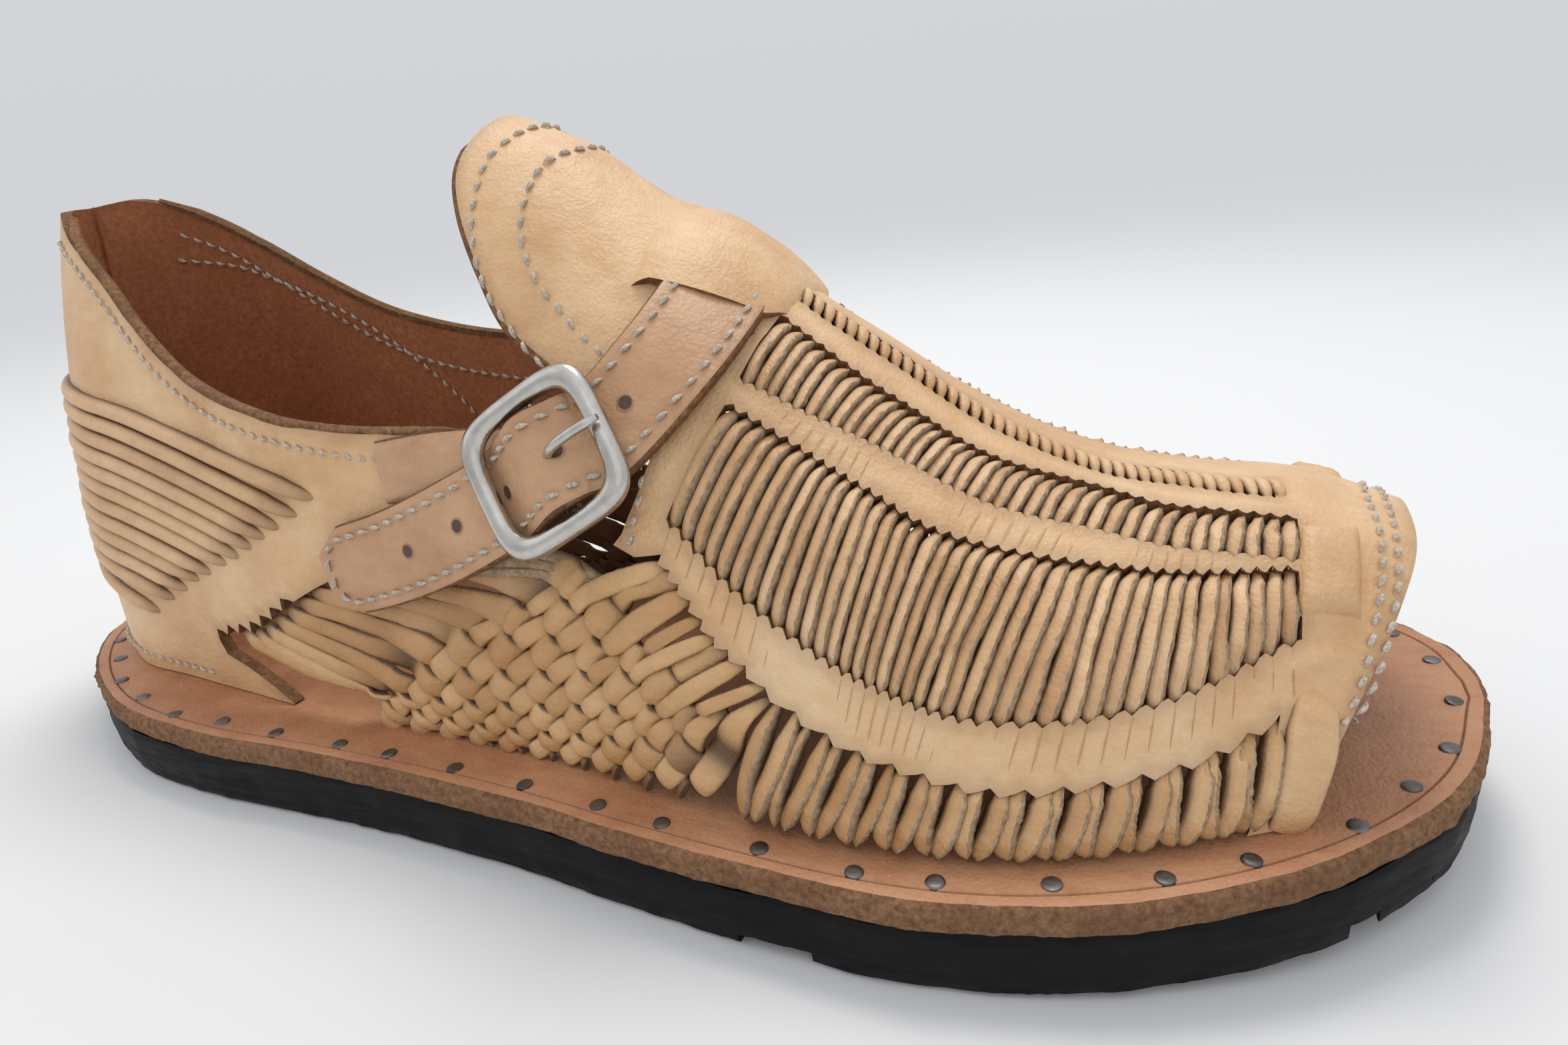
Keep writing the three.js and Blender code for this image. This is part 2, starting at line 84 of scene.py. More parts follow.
# Side view of the upper's rim, as in the solids: collar, front corner, weave's rim, tongue, mouth.
COLLAR_RUN = [
    (-20, 110), (10, 111.5), (24, 114), (45, 103), (60, 92), (76, 83), (97, 77.5), (118, 75.5), (140, 75.5),
]
FRONT_CORNER_RUN = [(146, 74), (147, 71), (139, 61), (125, 51)]
WEAVE_RIM_RUN = [(128, 49), (143, 53.5), (157, 57.5), (169, 56.5)]
TONGUE_RUN = [
    (174, 62), (177.5, 70), (178, 75.5), (170, 80), (159.5, 85), (151, 91.5), (145, 99.5), (139, 109),
    (136.5, 116), (138, 124),
]
RIM_TILT = 0.11
MOUTH_RUN = [(269, 12), (271.5, 20), (273.5, 29), (276.5, 37), (280, 45), (283, 52), (284, 60)]

# Rows of folded strips across the vamp: back to front, the ends of some of its strips on the upper
# and lower edge, in the side view (x, z).
WIDE_ROW = table(
    "strip top_x top_z foot_x foot_z",
    [
        (0, 189.3, 74.7, 182.9, 60),
        (5, 199.7, 68.9, 193.3, 51.7),
        (11, 210.5, 62.7, 206.9, 43.6),
        (16, 220.1, 57.4, 215.9, 39.5),
        (22, 233.3, 53.6, 227, 36.2),
        (27, 244.5, 51.6, 240.5, 35.7),
        (32, 254.8, 50.7, 253.7, 37.9),
        (38, 266.5, 50.4, 267.3, 43.2),
    ],
)
MIDDLE_ROW = table(
    "strip top_x top_z foot_x foot_z",
    [
        (0, 192.1, 85.2, 190.3, 78.1),
        (9, 209.7, 72.9, 207.3, 69.4),
        (19, 227.7, 62.8, 225.7, 59.9),
        (28, 246.9, 57.3, 245.3, 54.5),
        (37, 266.5, 55.4, 266.9, 51.7),
    ],
)
# Lower row: the points of the leaves under the vamp's edge.
LEAF_TIPS = table(
    "leaf x z",
    [
        (0, 181.3, 55.4), (1, 182.9, 53.2), (2, 184.5, 51.4), (3, 186.6, 49.2), (4, 188.7, 46.7),
        (5, 190.7, 44.4), (6, 193, 42.9), (7, 196, 41), (8, 199.2, 38.3), (9, 204.1, 35.5),
        (10, 208.9, 33), (11, 213.6, 31), (12, 218.2, 29.6), (13, 222.5, 28.6), (14, 227, 27.6),
        (15, 231.3, 27.1), (16, 235.7, 26.9), (17, 240.5, 27.2), (18, 245.3, 27.7), (19, 250.1, 28.4),
        (20, 254.5, 29.3), (21, 258.9, 30.5), (22, 262.6, 32.4), (23, 266.4, 34.4),
    ],
)
# Pairs of leaves in the lower row: the foot of each pair and the points of its two leaves.
LEAF_PAIRS = table(
    "pair foot_x back_x back_z front_x front_z",
    [
        (0, 194.9, 201.5, 36.8, 204.1, 35.5),
        (1, 200.1, 206.5, 34.2, 208.9, 33.1),
        (3, 211.3, 215.7, 30.1, 218, 29.7),
        (5, 222.9, 225, 28.3, 227.4, 27.8),
        (7, 233.7, 235.7, 26.9, 238.3, 27.1),
        (9, 243.7, 245.3, 27.7, 247.7, 28.2),
        (11, 254.5, 254.5, 29.5, 257.2, 30),
        (12, 259.3, 258.9, 30.5, 261.2, 31.8),
        (13, 263.2, 263.3, 32.9, 265.6, 34.2),
    ],
)
# The woven panel: rows of crossings from top to bottom. Column h = 0 is at x, the next ones a pitch on.
WEAVE = table(
    "row x pitch z rise bend",
    [
        (0, 153, 8.6, 50.5, 1.2, 0.0),
        (1, 148.5, 9.0, 43, 2.2, 0.0),
        (2, 144.1, 9.6, 38.3, 0.8, 0.05),
        (3, 142, 9.0, 31, 1.1, 0.15),
        (4, 141.7, 8.2, 24.7, 1.0, 0.12),
        (5, 142.5, 7.5, 19.9, 0.5, 0.19),
        (6, 144.5, 7.2, 16.4, 0.4, 0.06),
        (7, 146, 7.0, 13.5, 0.2, 0.02),
    ],
)
# Strips of the panel that rise forward end as leaves under the vamp's edge.
RISING_TIPS = {
    3: (182.5, 53.7), 4: (184.5, 51.9), 5: (186.3, 50.1), 6: (188.5, 46.9), 7: (190.5, 44.2),
    8: (192.5, 42.7), 9: (195.6, 41.4), 10: (198.9, 38.3),
}
# Strips that fall forward start as thongs in the quarter's slits.
FALLING_STARTS = {
    1: (146, 50.5), 0: (128, 50), -1: (117, 46), -2: (108, 43.4), -3: (101, 40.6), -4: (97, 38.2),
    -5: (93, 35.8), -6: (89, 33.6), -7: (85, 31.4), -8: (81, 29.8), -9: (76.8, 29),
}
# The row at which each rising strip ends. Those that are not named end at the last number.
RISING_ENDS = {2: 0.7, 3: 1.0, 4: 1.0, 5: 2.0, 6: 2.4, 7: 3.0, 8: 3.4, 9: 4.0, 10: 4.4}
RISING_END = 4.6
PROUD_LEAVES = (3, 5, 6, 7, 9, 10)  # rising strips whose leaves lie on top of their neighbours
# The lower edge of the quarter, with a slit for each thong.
QUARTER_SLITS = [
    (70, 26.7), (73.6, 28.4), (77.6, 29.2), (82.1, 30.2), (86, 32), (90, 34.2), (94, 36.6), (98, 39),
]


# ---- curves and surfaces ----
def along(rows, column, x, key="x"):
    """Value of a column at x, by the smooth curve through the table's rows."""
    xs, values = rows[key], rows[column]
    last = len(xs) - 1
    before = np.maximum(0, np.arange(last + 1) - 1)
    after = np.minimum(last, np.arange(last + 1) + 1)
    slope = (values[after] - values[before]) / (xs[after] - xs[before])
    x = np.asarray(x, float)
    i = np.clip(np.searchsorted(xs, x, side="right") - 1, 0, last - 1)
    span = xs[i + 1] - xs[i]
    t = np.clip((x - xs[i]) / span, 0, 1)
    s = 1 - t
    ends = values[i] * s * s * (1 + 2 * t) + values[i + 1] * t * t * (1 + 2 * s)
    return ends + span * s * t * (slope[i] * s - slope[i + 1] * t)


def lift(x):
    """How far the toe spring lifts the sole at x."""
    t = np.maximum(0, (x - TOE_SPRING["start"]) / (TOE_SPRING["end"] - TOE_SPRING["start"]))
    return TOE_SPRING["rise"] * t * t


def hump(distance, half):
    """A smooth bump, 1 at the middle and 0 at the half length."""
    t = np.minimum(1, np.abs(distance) / half)
    return np.cos(t * math.pi / 2) ** 2


def upper_point(x, turn, inset=0.0, raised=1.0):
    """Point of the upper's outer face moved inward by inset.

    turn is 0 at the outer foot, 0.5 on the ridge and 1 at the inner foot.
    """
    x, turn = np.broadcast_arrays(np.asarray(x, float), np.asarray(turn, float))
    at = np.maximum(HEEL["x"], x)
    ridge_y = along(SECTIONS, "ridge_y", at)
    foot = FOOTBED_TOP + GAP + lift(x)
    back = np.maximum(0, HEEL["x"] - x) / (HEEL["depth"] - inset)
    turned = np.sqrt(np.maximum(0, 1 - back * back))
    edge = np.where(turn < 0.5, along(SECTIONS, "outer", at), along(SECTIONS, "inner", at)) - ridge_y
    half = (np.abs(edge) - inset) * turned
    angle = math.pi * turn
    out = np.abs(np.cos(angle)) ** along(SECTIONS, "lean", at)
    up = np.sin(angle)
    y = ridge_y + half * out * np.sign(edge)
    bump = BRIDGE["rise"] * hump(x - BRIDGE["x"], BRIDGE["long"]) * hump(y - BRIDGE["y"], BRIDGE["wide"])
    rise = (along(SECTIONS, "ridge_z", at) - foot - inset) * up
    return np.stack([x + HEEL["forward"] * back * up * up, y, foot + rise + raised * bump], -1)


def turn_at(x, z, side):
    """The turn at which the upper's outer face reaches height z on one side."""
    at = np.maximum(HEEL["x"], x)
    foot = FOOTBED_TOP + GAP + lift(x)
    share = np.clip((z - foot) / (along(SECTIONS, "ridge_z", at) - foot), 0.001, 1)
    turn = np.arcsin(share) / math.pi
    return turn if side < 0 else 1 - turn


def spot(x, z, side):
    """The (x, turn) of a place given in the side view."""
    return np.array([x, turn_at(x, z, side)])


def side_path(run, side):
    """The (x, turn) rows of a run given in the side view."""
    return np.stack([run[:, 0], turn_at(run[:, 0], run[:, 1], side)], -1)


def unit(v):
    return v / np.maximum(1e-9, np.linalg.norm(v, axis=-1, keepdims=True))


def square_to(vectors, tangent):
    """The vectors without their part along the tangent."""
    return vectors - tangent * np.sum(vectors * tangent, -1, keepdims=True)


def skin(x, turn, out=0.0, raised=1.0):
    """Points at a distance out from the upper's outer face, and the face's normals there."""
    x, turn = np.asarray(x, float), np.asarray(turn, float)
    ahead = upper_point(x + 0.5, turn, 0, raised) - upper_point(x - 0.5, turn, 0, raised)
    over = upper_point(x, turn + 0.004, 0, raised) - upper_point(x, turn - 0.004, 0, raised)
    normal = unit(np.cross(ahead, over))
    point = upper_point(x, turn, 0, raised) + np.asarray(out, float)[..., None] * normal
    return point, normal


def smooth_run(run, each=6):
    """Points of a smooth curve through a run of points of any dimension."""
    p = np.array(run, float)
    p = np.vstack([2 * p[0] - p[1], p, 2 * p[-1] - p[-2]])
    result = []
    for i in range(1, len(p) - 2):
        for k in range(each):
            t = k / each
            a, b, c, d = p[i - 1 : i + 3]
            curve = 2 * b + (c - a) * t + (2 * a - 5 * b + 4 * c - d) * t**2 + (3 * b - a - 3 * c + d) * t**3
            result.append(curve / 2)
    result.append(p[-2])
    return np.array(result)


def running_length(points):
    return np.r_[0, np.cumsum(np.linalg.norm(np.diff(points, axis=0), axis=1))]


def sampled(at, run, values):
    """Rows of values taken at places along their running length."""
    return np.stack([np.interp(at, run, values[:, k]) for k in range(values.shape[1])], -1)


def spaced(points, step):
    """The same line with points about step apart, evenly."""
    points = np.asarray(points, float)
    run = running_length(points)
    count = max(2, int(round(run[-1] / step)) + 1)
    return sampled(np.linspace(0, run[-1], count), run, points)


def course(share, stops):
    """A value along a strip, through stops of (share of its length, value)."""
    places, values = zip(*stops)
    return np.interp(share, places, values)


def angles_round(count):
    """Angles of places spread evenly round a circle."""
    return 2 * math.pi * np.arange(count) / count


def slab_loop(x, turn, high, low):
    """One loop of a slab that goes from one height off the upper's face to another."""
    return np.vstack([skin(x, turn, high)[0], skin(x, turn, low)[0][::-1]])


# ---- meshes ----
def shade_smooth(mesh, angle):
    """Smooth shading, with edges of more than the angle in degrees left sharp."""
    mesh.shade_smooth()
    mesh.set_sharp_from_angle(angle=math.radians(angle))


def add_mesh(name, points, faces, materials, slots=None, angle=40):
    """A mesh object from points in millimetres. slots gives each face's material."""
    mesh = bpy.data.meshes.new(name)
    placed = (np.asarray(points, float) - MIDDLE) * MM
    mesh.from_pydata(placed.tolist(), [], [list(map(int, f)) for f in faces])
    for material in materials:
        mesh.materials.append(material)
    if slots is not None:
        mesh.polygons.foreach_set("material_index", np.asarray(slots, np.int32))
    mesh.validate()
    shade_smooth(mesh, angle)
    obj = bpy.data.objects.new(name, mesh)
    bpy.context.scene.collection.objects.link(obj)
    return obj


class Builder:
    """Collects many small meshes into one, with a shade and a tone for each vertex.

    shade is painted shade, 1 on open leather and 0 deep in a fold, and tone is 0 on a dark strip and 1 on a
    pale one.
    """

    def __init__(self):
        self.points, self.faces, self.slots, self.shades, self.tones = [], [], [], [], []
        self.count = 0

    def add(self, points, faces, slots, shades, tone=0.5):
        points = np.asarray(points, float)
        self.points.append(points)
        self.faces.extend([tuple(i + self.count for i in face) for face in faces])
        self.slots.extend(slots)
        self.shades.append(np.broadcast_to(np.asarray(shades, float), (len(points),)))
        self.tones.append(np.full(len(points), tone))
        self.count += len(points)

    def add_loft(self, loops, shade, tone=0.5):
        """Adds a closed solid through loops of points."""
        points, faces = closed_loft(np.array(loops))
        self.add(points, outward(points, faces), [0] * len(faces), shade, tone)

    def make(self, name, materials, angle=50):
        obj = add_mesh(name, np.vstack(self.points), self.faces, materials, self.slots, angle)
        set_attribute(obj, "shade", np.concatenate(self.shades))
        set_attribute(obj, "tone", np.concatenate(self.tones))
        return obj


def set_attribute(obj, name, values):
    layer = obj.data.attributes.get(name) or obj.data.attributes.new(name, "FLOAT", "POINT")
    layer.data.foreach_set("value", np.asarray(values, np.float32))


def tube_faces(rows, count, slot_of=lambda i: 0, caps=True):
    """Faces of a closed tube of rows loops with count points each, and their slots."""
    faces, slots = [], []
    for k in range(rows - 1):
        for i in range(count):
            j = (i + 1) % count
            faces.append((k * count + i, k * count + j, (k + 1) * count + j, (k + 1) * count + i))
            slots.append(slot_of(i))
    if caps:
        faces.append(tuple(range(count))[::-1])
        faces.append(tuple((rows - 1) * count + i for i in range(count)))
        slots += [slot_of(0), slot_of(0)]
    return faces, slots


def closed_loft(loops):
    """Points and faces of a closed solid through loops of points, closed with a fan at each end."""
    rows, count = loops.shape[:2]
    faces, _ = tube_faces(rows, count, caps=False)
    points = np.vstack([loops.reshape(-1, 3), loops[0].mean(0), loops[-1].mean(0)])
    first, last, end = rows * count, rows * count + 1, (rows - 1) * count
    for i in range(count):
        j = (i + 1) % count
        faces.append((first, j, i))
        faces.append((last, end + i, end + j))
    return points, faces


def outward(points, faces):
    """The faces turned round if the closed mesh is inside out."""
    p = np.asarray(points, float)
    volume = 0.0
    for face in faces:
        a = p[face[0]]
        for k in range(1, len(face) - 1):
            volume += np.dot(a, np.cross(p[face[k]], p[face[k + 1]]))
    return faces if volume > 0 else [tuple(reversed(f)) for f in faces]


def lofted(name, loops, material):
    """A closed mesh object through loops of points."""
    points, faces = closed_loft(np.array(loops))
    return add_mesh(name, points, outward(points, faces), [material])


def cut(obj, cutters, operation="DIFFERENCE"):
    """Booleans with each cutter in turn, applied, and the cutters removed."""
    for cutter in cutters:
        step = obj.modifiers.new("cut", "BOOLEAN")
        step.operation = operation
        step.solver = "MANIFOLD"
        step.object = cutter
        step.material_mode = "TRANSFER"
    graph = bpy.context.evaluated_depsgraph_get()
    mesh = bpy.data.meshes.new_from_object(obj.evaluated_get(graph))
    obj.modifiers.clear()
    obj.data = mesh
    for cutter in cutters:
        bpy.data.objects.remove(cutter)
    return obj


def prism(name, outline, material, tilt=0.0, low=-BEYOND["side"], high=BEYOND["side"]):
    """Closed prism across the shoe from a side-view outline (x, z), from y = low to y = high."""
    outline = np.asarray(outline, float)
    n = len(outline)
    points = [(x, y, z + tilt * y) for y in (low, high) for x, z in outline]
    faces = [(i, (i + 1) % n, n + (i + 1) % n, n + i) for i in range(n)]
    faces += [tuple(range(n))[::-1], tuple(range(n, 2 * n))]
    return add_mesh(name, points, outward(points, faces), [material])


def ride(obj, material_slot, *nodes):
    """Puts a piece on the sandal's one body, and hides the solids it stands for."""
    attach(obj, "root")
    if nodes:
        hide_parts(*nodes)
    return obj


# ---- materials ----
class Nodes:
    """A node tree, with short ways to add and join its nodes."""

    def __init__(self, tree):
        self.tree = tree

    def node(self, kind, inputs=(), **settings):
        made = self.tree.nodes.new(kind)
        for key, value in settings.items():
            setattr(made, key, value)
        for key, value in dict(inputs).items():
            self.put(value, made.inputs[key])
        return made

    def put(self, value, socket):
        if isinstance(value, bpy.types.NodeSocket):
            self.tree.links.new(value, socket)
        else:
            socket.default_value = value

    def math(self, operation, a, b=0.0):
        return self.node("ShaderNodeMath", {0: a, 1: b}, operation=operation).outputs[0]


class Look(Nodes):
    """One material, with short ways to add its patterns."""

    def __init__(self, name, roughness=0.5, metallic=0.0, specular=0.5):
        self.material = bpy.data.materials.new(name)
        self.material.use_nodes = True
        super().__init__(self.material.node_tree)
        self.shader = self.tree.nodes["Principled BSDF"]
        self.shader.inputs["Roughness"].default_value = roughness
        self.shader.inputs["Metallic"].default_value = metallic
        self.shader.inputs["Specular IOR Level"].default_value = specular
        self.place = self.node("ShaderNodeTexCoord").outputs["Object"]

    def stretched(self, scale):
        return self.node("ShaderNodeMapping", {0: self.place, "Scale": scale}).outputs[0]

    def noise(self, scale, detail=3.0, rough=0.5, place=None):
        inputs = {"Vector": place or self.place, "Scale": scale, "Detail": detail, "Roughness": rough}
        return self.node("ShaderNodeTexNoise", inputs).outputs["Fac"]

    def cells(self, scale):
        return self.node("ShaderNodeTexVoronoi", {"Vector": self.place, "Scale": scale}).outputs["Distance"]

    def remap(self, value, low, high, to_low=0.0, to_high=1.0):
        inputs = {"Value": value, "From Min": low, "From Max": high, "To Min": to_low, "To Max": to_high}
        return self.node("ShaderNodeMapRange", inputs).outputs["Result"]

    def blend(self, a, b, share):
        """A share of a and the rest of b, added."""
        return self.math("ADD", self.math("MULTIPLY", a, share), self.math("MULTIPLY", b, 1 - share))

    def mix(self, factor, a, b, blend="MIX"):
        node = self.node("ShaderNodeMix", data_type="RGBA", blend_type=blend)
        self.put(factor, node.inputs["Factor"])
        for key, value in ((6, a), (7, b)):
            self.put(value if isinstance(value, bpy.types.NodeSocket) else (*value, 1.0), node.inputs[key])
        return node.outputs[2]

    def ramp(self, value, stops):
        node = self.node("ShaderNodeValToRGB", {"Fac": value})
        ramp = node.color_ramp
        while len(ramp.elements) < len(stops):
            ramp.elements.new(0.5)
        for element, (at, colour) in zip(ramp.elements, stops):
            element.position = at
            element.color = (*colour, 1.0)
        return node.outputs["Color"]

    def attribute(self, name):
        return self.node("ShaderNodeAttribute", attribute_name=name).outputs["Fac"]

    def bump(self, height, distance_mm, strength=1.0, under=None):
        inputs = {"Height": height, "Distance": distance_mm * MM, "Strength": strength}
        if under:
            inputs["Normal"] = under
        return self.node("ShaderNodeBump", inputs).outputs["Normal"]

    def finish(self, colour=None, roughness=None, normal=None):
        if colour is not None:
            self.put(colour, self.shader.inputs["Base Color"])
        if roughness is not None:
            self.put(roughness, self.shader.inputs["Roughness"])
        if normal is not None:
            self.put(normal, self.shader.inputs["Normal"])
        return self.material


CREASE = (0.075, 0.032, 0.012)  # painted shade in folds and under strips, and wear near cut edges


def grain_leather(name, light, middle, dark, gloss=0.46, grain=1.0):
    """Vegetable-tanned leather, grain side: mottled, with fine pores and small wrinkles."""
    look = Look(name, specular=0.6)
    patches = look.noise(60, 5, 0.6)
    cloud = look.noise(17, 3, 0.5)
    colour = look.ramp(look.blend(patches, cloud, 0.55), [(0.38, dark), (0.5, middle), (0.62, light)])
    amber = look.remap(look.noise(42, 3, 0.6), 0.54, 0.70, 0, 0.42)
    colour = look.mix(amber, colour, (dark[0] * 1.08, dark[1] * 0.92, dark[2] * 0.62))
    tone = look.remap(look.attribute("tone"), 0, 1, 0, 1)
    colour = look.mix(tone, look.mix(0.62, colour, dark), look.mix(0.35, colour, light))
    pores = look.cells(1300)
    fine = look.noise(2600, 4, 0.65)
    colour = look.mix(look.remap(fine, 0.3, 0.7, 0, 0.22), colour, dark)
    fibres = look.noise(1.0, 5, 0.6, look.stretched((150, 420, 420)))
    colour = look.mix(look.remap(fibres, 0.45, 0.75, 0, 0.25), colour, middle, "MULTIPLY")
    # painted shade and edge wear: the shade attribute darkens folds, crevices, strip ends and the upper's
    # cut edges toward CREASE
    painted_shade_and_wear = look.remap(look.attribute("shade"), 0, 1, 1, 0)
    colour = look.mix(painted_shade_and_wear, colour, CREASE)
    roughness = look.remap(look.blend(fine, patches, 0.5), 0.3, 0.7, gloss - 0.12, gloss + 0.12)
    wrinkles = look.noise(1.0, 5, 0.65, look.stretched((330, 230, 300)))
    normal = look.bump(wrinkles, 0.6 * grain, 0.6)
    normal = look.bump(look.remap(pores, 0, 0.7), 0.14 * grain, 0.5, normal)
    normal = look.bump(fine, 0.16 * grain, 0.5, normal)
    return look.finish(colour, roughness, normal)


def rough_leather(name, light, dark, nap=1.0):
    """Cut edge or flesh side of leather: fibrous and dull."""
    look = Look(name, roughness=0.9, specular=0.2)
    tufts = look.noise(900, 6, 0.7)
    patches = look.noise(90, 3, 0.6)
    colour = look.mix(look.remap(tufts, 0.35, 0.65), dark, light)
    colour = look.mix(look.remap(patches, 0.35, 0.65, 0, 0.45), colour, dark)
    # painted shade: the shade attribute darkens the edge toward this deep colour in folds and under strips,
    # with wear near the upper's cut edges
    deep = (dark[0] * 0.35, dark[1] * 0.3, dark[2] * 0.25)
    colour = look.mix(look.remap(look.attribute("shade"), 0, 1, 0.85, 0), colour, deep)
    normal = look.bump(tufts, 0.7 * nap, 0.9)
    normal = look.bump(look.noise(2500, 4, 0.7), 0.3 * nap, 0.7, normal)
    return look.finish(colour, look.remap(tufts, 0.3, 0.7, 0.75, 0.95), normal)


def paint(red, green, blue):
    """A colour given in 0 to 255 as linear values."""
    return tuple(((v / 255 + 0.055) / 1.055) ** 2.4 for v in (red, green, blue))


def painted_leather(name, colours, gloss=0.46, grain=1.0):
    """Grain leather from its light, middle and dark colours in 0 to 255."""
    return grain_leather(name, *(paint(*colour) for colour in colours), gloss, grain)


LEATHER_LOOK = painted_leather("leather", [(242, 213, 172), (225, 184, 136), (196, 146, 94)])
FOLD_LOOK = painted_leather("folded_leather", [(243, 210, 168), (226, 186, 138), (192, 146, 98)])
WOVEN_LOOK = painted_leather("woven_leather", [(234, 196, 146), (213, 170, 116), (176, 127, 74)])
EDGE_LOOK = rough_leather("leather_edge", paint(176, 134, 96), paint(112, 76, 48))
NAP_LOOK = rough_leather("leather_nap", (0.66, 0.50, 0.34), (0.36, 0.23, 0.13))
INSIDE_LOOK = rough_leather("leather_inside", paint(196, 134, 94), paint(158, 100, 66), 0.35)


def metal(name, colour, dark, roughness):
    """Worn plated metal with fine scratches."""
    look = Look(name, metallic=1.0)
    scratches = look.noise(1.0, 4, 0.7, look.stretched((300, 2600, 900)))
    smudge = look.noise(220, 3, 0.6)
    tint = look.mix(look.remap(smudge, 0.35, 0.7, 0, 0.7), colour, dark)
    rough = look.remap(scratches, 0.3, 0.7, roughness - 0.08, roughness + 0.16)
    return look.finish(tint, rough, look.bump(scratches, 0.03, 0.5))


def rubber(name):
    """Dull black tyre rubber with knife marks and dust."""
    look = Look(name, roughness=0.6, specular=0.16)
    dust = look.noise(70, 5, 0.65)
    marks = look.noise(1.0, 5, 0.7, look.stretched((60, 60, 700)))
    colour = look.mix(look.remap(dust, 0.45, 0.75, 0, 0.5), (0.004, 0.0043, 0.005), (0.014, 0.0135, 0.013))
    normal = look.bump(marks, 0.35, 0.6)
    normal = look.bump(look.noise(1500, 4, 0.6), 0.12, 0.6, normal)
    return look.finish(colour, look.remap(marks, 0.3, 0.7, 0.42, 0.72), normal)


def thread(name):
    """Waxed off-white thread, twisted from two plies."""
    look = Look(name, roughness=0.7, specular=0.25)
    ply = look.noise(2600, 3, 0.6)
    colour = look.mix(look.remap(ply, 0.35, 0.65), paint(214, 203, 188), paint(160, 146, 130))
    return look.finish(colour, None, look.bump(ply, 0.15, 0.8))


THREAD_LOOK = thread("thread")
NICKEL_LOOK = metal("nickel", (0.60, 0.58, 0.54), (0.40, 0.38, 0.35), 0.2)
NAIL_LOOK = metal("nail_steel", (0.22, 0.21, 0.21), (0.07, 0.055, 0.045), 0.42)
RUBBER_LOOK = rubber("rubber")
FOOTBED_LOOK = painted_leather("footbed_leather", [(214, 162, 122), (196, 140, 100), (162, 106, 70)], 0.5)
SOLE_EDGE_LOOK = rough_leather("footbed_edge", paint(172, 132, 98), paint(112, 78, 54), 0.9)
STRAP_LOOK = painted_leather("strap_leather", [(222, 184, 146), (206, 162, 122), (176, 128, 88)], 0.42, 0.8)


# ---- the upper's leather ----
FINE_STEP = 3
HEEL_TURNS = {"fine": 26, "coarse": 12}  # stations round the heel; fine is for steps under FINE_STEP


def upper_stations(inset, front, step, turns):
    """Stations along the upper, closer together where the heel turns."""
    angles = (math.pi / 2) * (np.arange(turns) + 0.12) / turns
    heel = HEEL["x"] - (HEEL["depth"] - inset) * np.cos(angles)
    return np.r_[heel, np.arange(HEEL["x"], front + step / 2, step)]


def upper_form(name, inset, front, drop, step, around, material, relief=None, raised=1.0):
    """Closed form of the upper's own shape moved inward by inset."""
    x = upper_stations(inset, front, step, HEEL_TURNS["fine"] if step < FINE_STEP else HEEL_TURNS["coarse"])
    turn = np.linspace(0, 1, around + 1)
    xs, turns = np.meshgrid(x, turn, indexing="ij")
    loops = upper_point(xs, turns, inset, raised)
    if relief is not None:
        _, normal = skin(xs, np.clip(turns, 0.004, 0.996), 0, raised)
        loops = loops + relief(xs, turns)[..., None] * normal
    if drop > 0:
        low = loops[:, [-1, 0]].copy()
        low[..., 2] -= drop
        loops = np.concatenate([loops, low], 1)
    return lofted(name, loops, material)


def rim_outline():
    runs = [COLLAR_RUN, FRONT_CORNER_RUN, WEAVE_RIM_RUN, TONGUE_RUN]
    rim = np.vstack([smooth_run(run) for run in runs])
    return np.vstack([rim, [TONGUE_RUN[-1][0], BEYOND["above"]], [COLLAR_RUN[0][0], BEYOND["above"]]])


def mouth_outline():
    ahead, above, below = BEYOND["ahead"], BEYOND["above"], BEYOND["below"]
    return np.vstack([[(268, below)], smooth_run(MOUTH_RUN), [(287, above), (ahead, above), (ahead, below)]])


def sawtooth(points, depth, side):
    """A zigzag edge: each point stays, and after it comes a tooth standing out by depth to one side."""
    points = np.asarray(points, float)
    result = []
    for a, b in zip(points[:-1], points[1:]):
        along_edge = (b - a) / np.linalg.norm(b - a)
        across = np.array([-along_edge[1], along_edge[0]]) * side
        result += [a, a + 0.3 * (b - a) + across * depth, a + 0.75 * (b - a) + across * depth * 0.45]
    return np.array(result + [points[-1]])


def window_outline():
    """Side view of the opening that the woven panel and the lower row of leaves fill."""
    corner = [(90, 5), (90, 15.6), (85, 18.5), (78, 21.5), (71.5, 23.5)]
    quarter = np.vstack([corner, sawtooth(QUARTER_SLITS, 2.2, 1), [(105, 42.5), (113, 46), (125, 50)]])
    top = [(143, 56), (157, 60), (168, 59), (172.5, 56), (176.5, 54.6)]
    tips = np.stack([LEAF_TIPS["x"], LEAF_TIPS["z"]], -1)
    vamp = sawtooth(tips, 1.3, -1)
    front = [(265.5, 24), (263.5, 17), (263, 5)]
    return np.vstack([quarter, top, vamp, front])


def row_ends(rows, k, side):
    """The upper and lower end of strip k of a row, each as (x, turn)."""
    top_x = along(rows, "top_x", k, "strip")
    foot_x = along(rows, "foot_x", k, "strip")
    top = turn_at(top_x, along(rows, "top_z", k, "strip"), side)
    foot = turn_at(foot_x, along(rows, "foot_z", k, "strip"), side)
    return np.array([top_x, top]), np.array([foot_x, foot])


